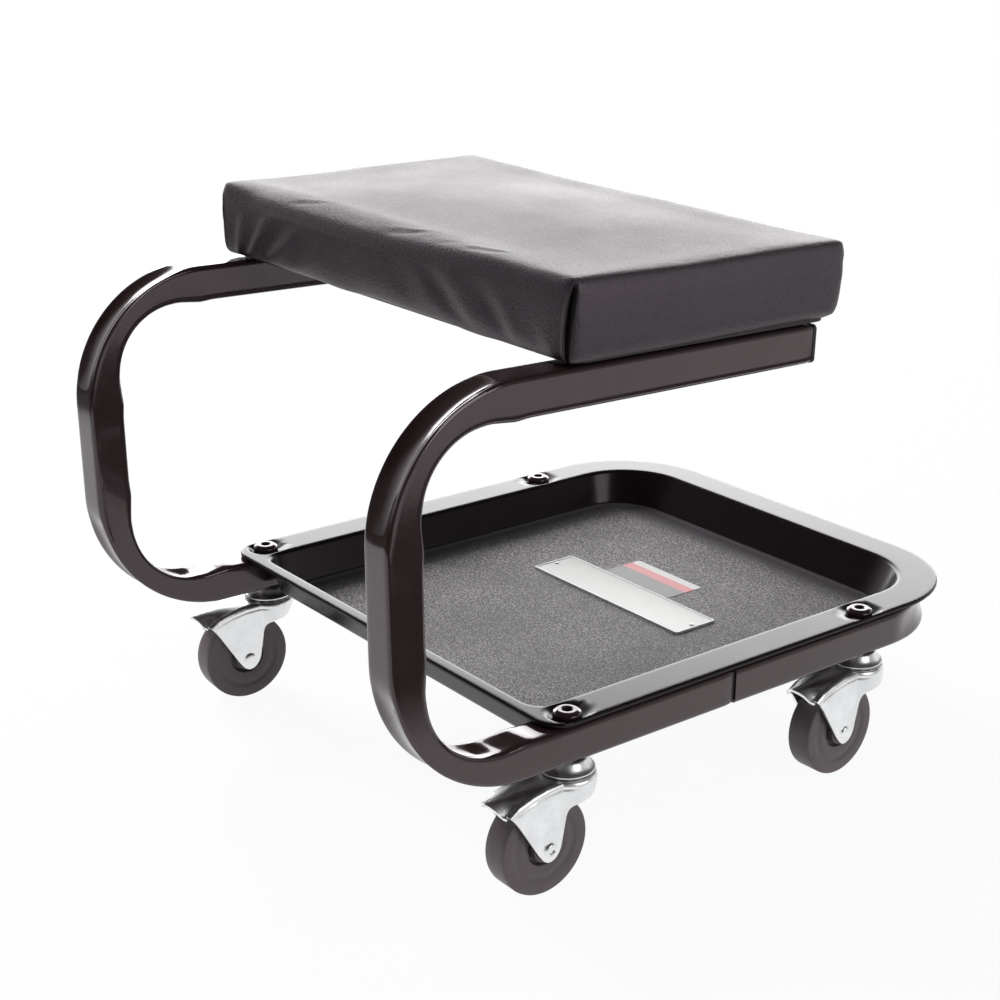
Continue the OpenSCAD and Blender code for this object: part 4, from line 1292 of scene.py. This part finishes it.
def tray_label():
    """A thin film with rounded corners."""
    low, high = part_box("tray_sticker")
    nothing_selected()
    bpy.ops.mesh.primitive_plane_add(size=1, location=((low + high) / 2).xy.to_3d())
    label = named("tray_label")
    bpy.ops.transform.resize(value=(high.x - low.x, high.y - low.y, 1))
    bpy.ops.object.transform_apply(location=True, rotation=True, scale=True)
    editing("VERT")
    bpy.ops.mesh.select_all(action="SELECT")
    bpy.ops.mesh.bevel(offset=2.0 * MM, segments=5, affect="VERTICES")
    bpy.ops.transform.translate(value=(0, 0, low.z))
    bpy.ops.mesh.select_mode(type="FACE")
    bpy.ops.mesh.select_all(action="SELECT")
    bpy.ops.mesh.extrude_region_move(TRANSFORM_OT_translate={"value": (0, 0, high.z - low.z)})
    bpy.ops.mesh.inset(thickness=0.8 * MM)
    done_editing()
    return closed_up(label)


class SEAT_OT_badge(bpy.types.Operator):
    """Makes the bare badge plate with its raised border, and the plain label behind it"""

    bl_idname = "seat.badge"
    bl_label = "Badge and label"

    def execute(self, context):
        plate = badge_plate()
        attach(plate, "frame")
        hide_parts("badge_plate")
        badge_metal(context.scene.seat_colours).wear([plate])
        label = tray_label()
        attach(label, "frame")
        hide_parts("tray_sticker")
        label_film(context.scene.seat_colours).wear([label])
        return {"FINISHED"}


class SEAT_OT_small_parts(bpy.types.Operator):
    """Finishes the pieces that hardly show: sleeves, plugs, board, fixings, rivets, stems and bearings"""

    bl_idname = "seat.small_parts"
    bl_label = "Small parts"

    def execute(self, context):
        # Name, colour, roughness, metallic, scale, contrast and bump, then the nodes that wear it
        finishes = (
            (("raw_steel", (0.09, 0.085, 0.08), 0.45, 0.9, 120.0, 0.25, 0.0001), ["joint_sleeves"]),
            (("black_plastic", (0.018, 0.016, 0.017), 0.5, 0.0, 300.0, 0.2, 0.00008), ["rail_end_plugs"]),
            (("zinc_fixings", (0.55, 0.54, 0.5), 0.35, 1.0, 260.0, 0.15, 0.00005),
             ["seat_tee_nuts", "seat_bolts", "caster_stems"]),
            (("bearing_steel", (0.6, 0.6, 0.6), 0.18, 1.0, 400.0, 0.08, 0.00002), ["caster_balls"]),
            (("bright_rivet", (0.5, 0.5, 0.49), 0.4, 0.6, 500.0, 0.1, 0.00003), ["badge_rivets"]),
            (("pale_nylon", (0.42, 0.41, 0.38), 0.55, 0.0, 200.0, 0.1, 0.00005),
             [f"bush_{corner}" for corner in CORNERS]),
        )
        for looks, names in finishes:
            plain_finish(*looks).wear([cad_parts[name] for name in names])
        plywood("stained_plywood").wear([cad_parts["seat_board"]])
        return {"FINISHED"}


# The camera that was fitted to the photograph: its place in metres, then azimuth, elevation and roll
CAMERA_PLACE = Vector((0.988, -0.81019, 0.6342))
CAMERA_TURNS = [math.radians(angle) for angle in (51.98, 19.58, 0.33)]
FOCAL_PIXELS, PICTURE_PIXELS = 1860.79, 1000.0
FILM = 36.0


def paper_floor():
    """A pale floor. Gloss sees it as a white table, dark past its front and right edges."""
    nothing_selected()
    bpy.ops.mesh.primitive_plane_add(size=14, location=(0, 0, 0))
    floor = named("floor")
    paper = Finish("pale_floor", (0.86, 0.86, 0.86), 0.9)
    seen, mirrored, through = paper.ray("Camera"), paper.ray("Glossy"), paper.ray("Transmission")
    away = paper.node("ShaderNodeVectorMath", {"operation": "LENGTH"}, {0: paper.place}, "Value")
    x, y = paper.axis("X"), paper.axis("Y")
    # A white reflector stands again on the right, past the dark gap
    right_gap = paper.between(x, 0.40, 0.50) * paper.between(x, 0.92, 0.80)
    front_gap = paper.between(away, 1.05, 1.15) * paper.between(y, -0.2, -0.45)
    gap = right_gap.or_more(front_gap)
    lit = paper.between(away, 0.7, 1.8, 0.94, 1.0) * seen + 0.92 * mirrored + 0.6 * through
    glow = paper.node("ShaderNodeEmission", None,
                      {"Color": (1, 1, 1, 1), "Strength": 1.0 - 0.96 * gap * mirrored})
    matt = Value(paper, paper.shader.outputs[0])
    mixed = paper.node("ShaderNodeMixShader", None, {0: lit, 1: matt, 2: glow})
    paper.give(paper.tree.nodes["Material Output"].inputs["Surface"], mixed)
    paper.wear([floor])


def lamps():
    """Soft lamps aimed at the seat. Some only light, and some are only mirrored in the gloss."""
    aim = Vector((0, 0, 0.2))
    # Name, place, size, power, whether it lights, and whether gloss mirrors it
    for name, place, size, power, lights, mirrored in (
            ("key_lamp", (-2.6, -0.2, 1.75), (1.0, 1.0), 110.0, True, False),
            ("edge_lamp", (-2.6, 0.4, 1.3), (1.2, 0.7), 8.0, False, True),
            ("top_lamp", (0.3, 0.2, 2.6), (1.6, 1.6), 10.0, True, False),
            ("right_lamp", (2.5, 0.5, 1.1), (1.4, 1.4), 18.0, True, True),
            ("back_box", (-1.95, 1.55, 0.86), (3.6, 1.3), 60.0, False, True)):
        nothing_selected()
        bpy.ops.object.light_add(type="AREA", location=place)
        lamp = named(name)
        lamp.data.shape = "RECTANGLE"
        lamp.data.size, lamp.data.size_y = size
        lamp.data.energy = power
        lamp.visible_camera = False
        lamp.visible_diffuse, lamp.visible_glossy = lights, mirrored
        lamp.rotation_mode = "QUATERNION"
        lamp.rotation_quaternion = (aim - Vector(place)).to_track_quat("-Z", "Y")


def white_studio():
    """Surroundings: white to the camera, dim to matt surfaces, and brightest to gloss at the rear left."""
    world = bpy.data.worlds.new("white_studio")
    bpy.context.scene.world = world
    sky = Nodes(world)
    toward = sky.node("ShaderNodeTexCoord", output="Generated")
    facing = sky.node("ShaderNodeVectorMath", {"operation": "DOT_PRODUCT"},
                      {0: toward, 1: (-0.65, 0.75, 0.05)}, "Value")
    mirrored = (sky.between(facing, -0.1, 0.6, 0.12, 1.0, "LINEAR")
                * sky.between(sky.part(toward, "Z"), 0.28, 0.6, 1.0, 0.06))
    soft = sky.mix(sky.ray("Glossy"), 0.24, mirrored)
    strength = sky.mix(sky.ray("Camera").or_more(sky.ray("Transmission")), soft, 1.0)
    background = sky.tree.nodes["Background"]
    background.inputs["Color"].default_value = (1, 1, 1, 1)
    sky.give(background.inputs["Strength"], strength)


def photo_camera():
    """The camera as it was fitted to the photograph."""
    bpy.ops.object.camera_add()
    camera = named("photo_camera")
    azimuth, elevation, roll = CAMERA_TURNS
    back = Vector((math.sin(azimuth) * math.cos(elevation), -math.cos(azimuth) * math.cos(elevation),
                   math.sin(elevation)))
    right = (-back).cross(Vector((0, 0, 1))).normalized()
    up = back.cross(right)
    across = right * math.cos(roll) + up * math.sin(roll)
    upright = up * math.cos(roll) - right * math.sin(roll)
    camera.matrix_world = (Matrix.Translation(CAMERA_PLACE)
                           @ Matrix((across, upright, back)).transposed().to_4x4())
    camera.data.sensor_width = FILM
    camera.data.lens = FILM * FOCAL_PIXELS / PICTURE_PIXELS
    camera.data.clip_start, camera.data.clip_end = 0.01, 60.0
    bpy.context.scene.camera = camera


class SEAT_OT_stage(bpy.types.Operator):
    """Sets the floor, the soft lamps, the white surroundings and the camera"""

    bl_idname = "seat.stage"
    bl_label = "Stage"

    def execute(self, context):
        paper_floor()
        lamps()
        white_studio()
        context.scene.view_settings.view_transform = "Standard"
        photo_camera()
        return {"FINISHED"}


class SEAT_PT_panel(bpy.types.Panel):
    """Lists the seat's sizes and colours, and the steps that make it"""

    bl_idname = "SEAT_PT_panel"
    bl_label = "Creeper seat"
    bl_space_type = "VIEW_3D"
    bl_region_type = "UI"
    bl_category = "Seat"

    def draw(self, context):
        for group in (context.scene.seat_sizes, context.scene.seat_colours):
            for name in group.__annotations__:
                self.layout.prop(group, name)
        for operator in OPERATORS:
            self.layout.operator(operator.bl_idname)


OPERATORS = (SEAT_OT_side_tubes, SEAT_OT_rear_tube, SEAT_OT_tray, SEAT_OT_cap_nuts, SEAT_OT_badge,
             SEAT_OT_casters, SEAT_OT_wheels, SEAT_OT_cushion, SEAT_OT_small_parts, SEAT_OT_stage)
CLASSES = (SeatSizes, SeatColours, *OPERATORS, SEAT_PT_panel)


def register():
    for made in CLASSES:
        bpy.utils.register_class(made)
    bpy.types.Scene.seat_sizes = PointerProperty(type=SeatSizes)
    bpy.types.Scene.seat_colours = PointerProperty(type=SeatColours)


def unregister():
    del bpy.types.Scene.seat_colours
    del bpy.types.Scene.seat_sizes
    for made in reversed(CLASSES):
        bpy.utils.unregister_class(made)


def main():
    register()
    for operator in OPERATORS:
        group, name = operator.bl_idname.split(".")
        getattr(getattr(bpy.ops, group), name)()


if __name__ == "__main__":
    main()
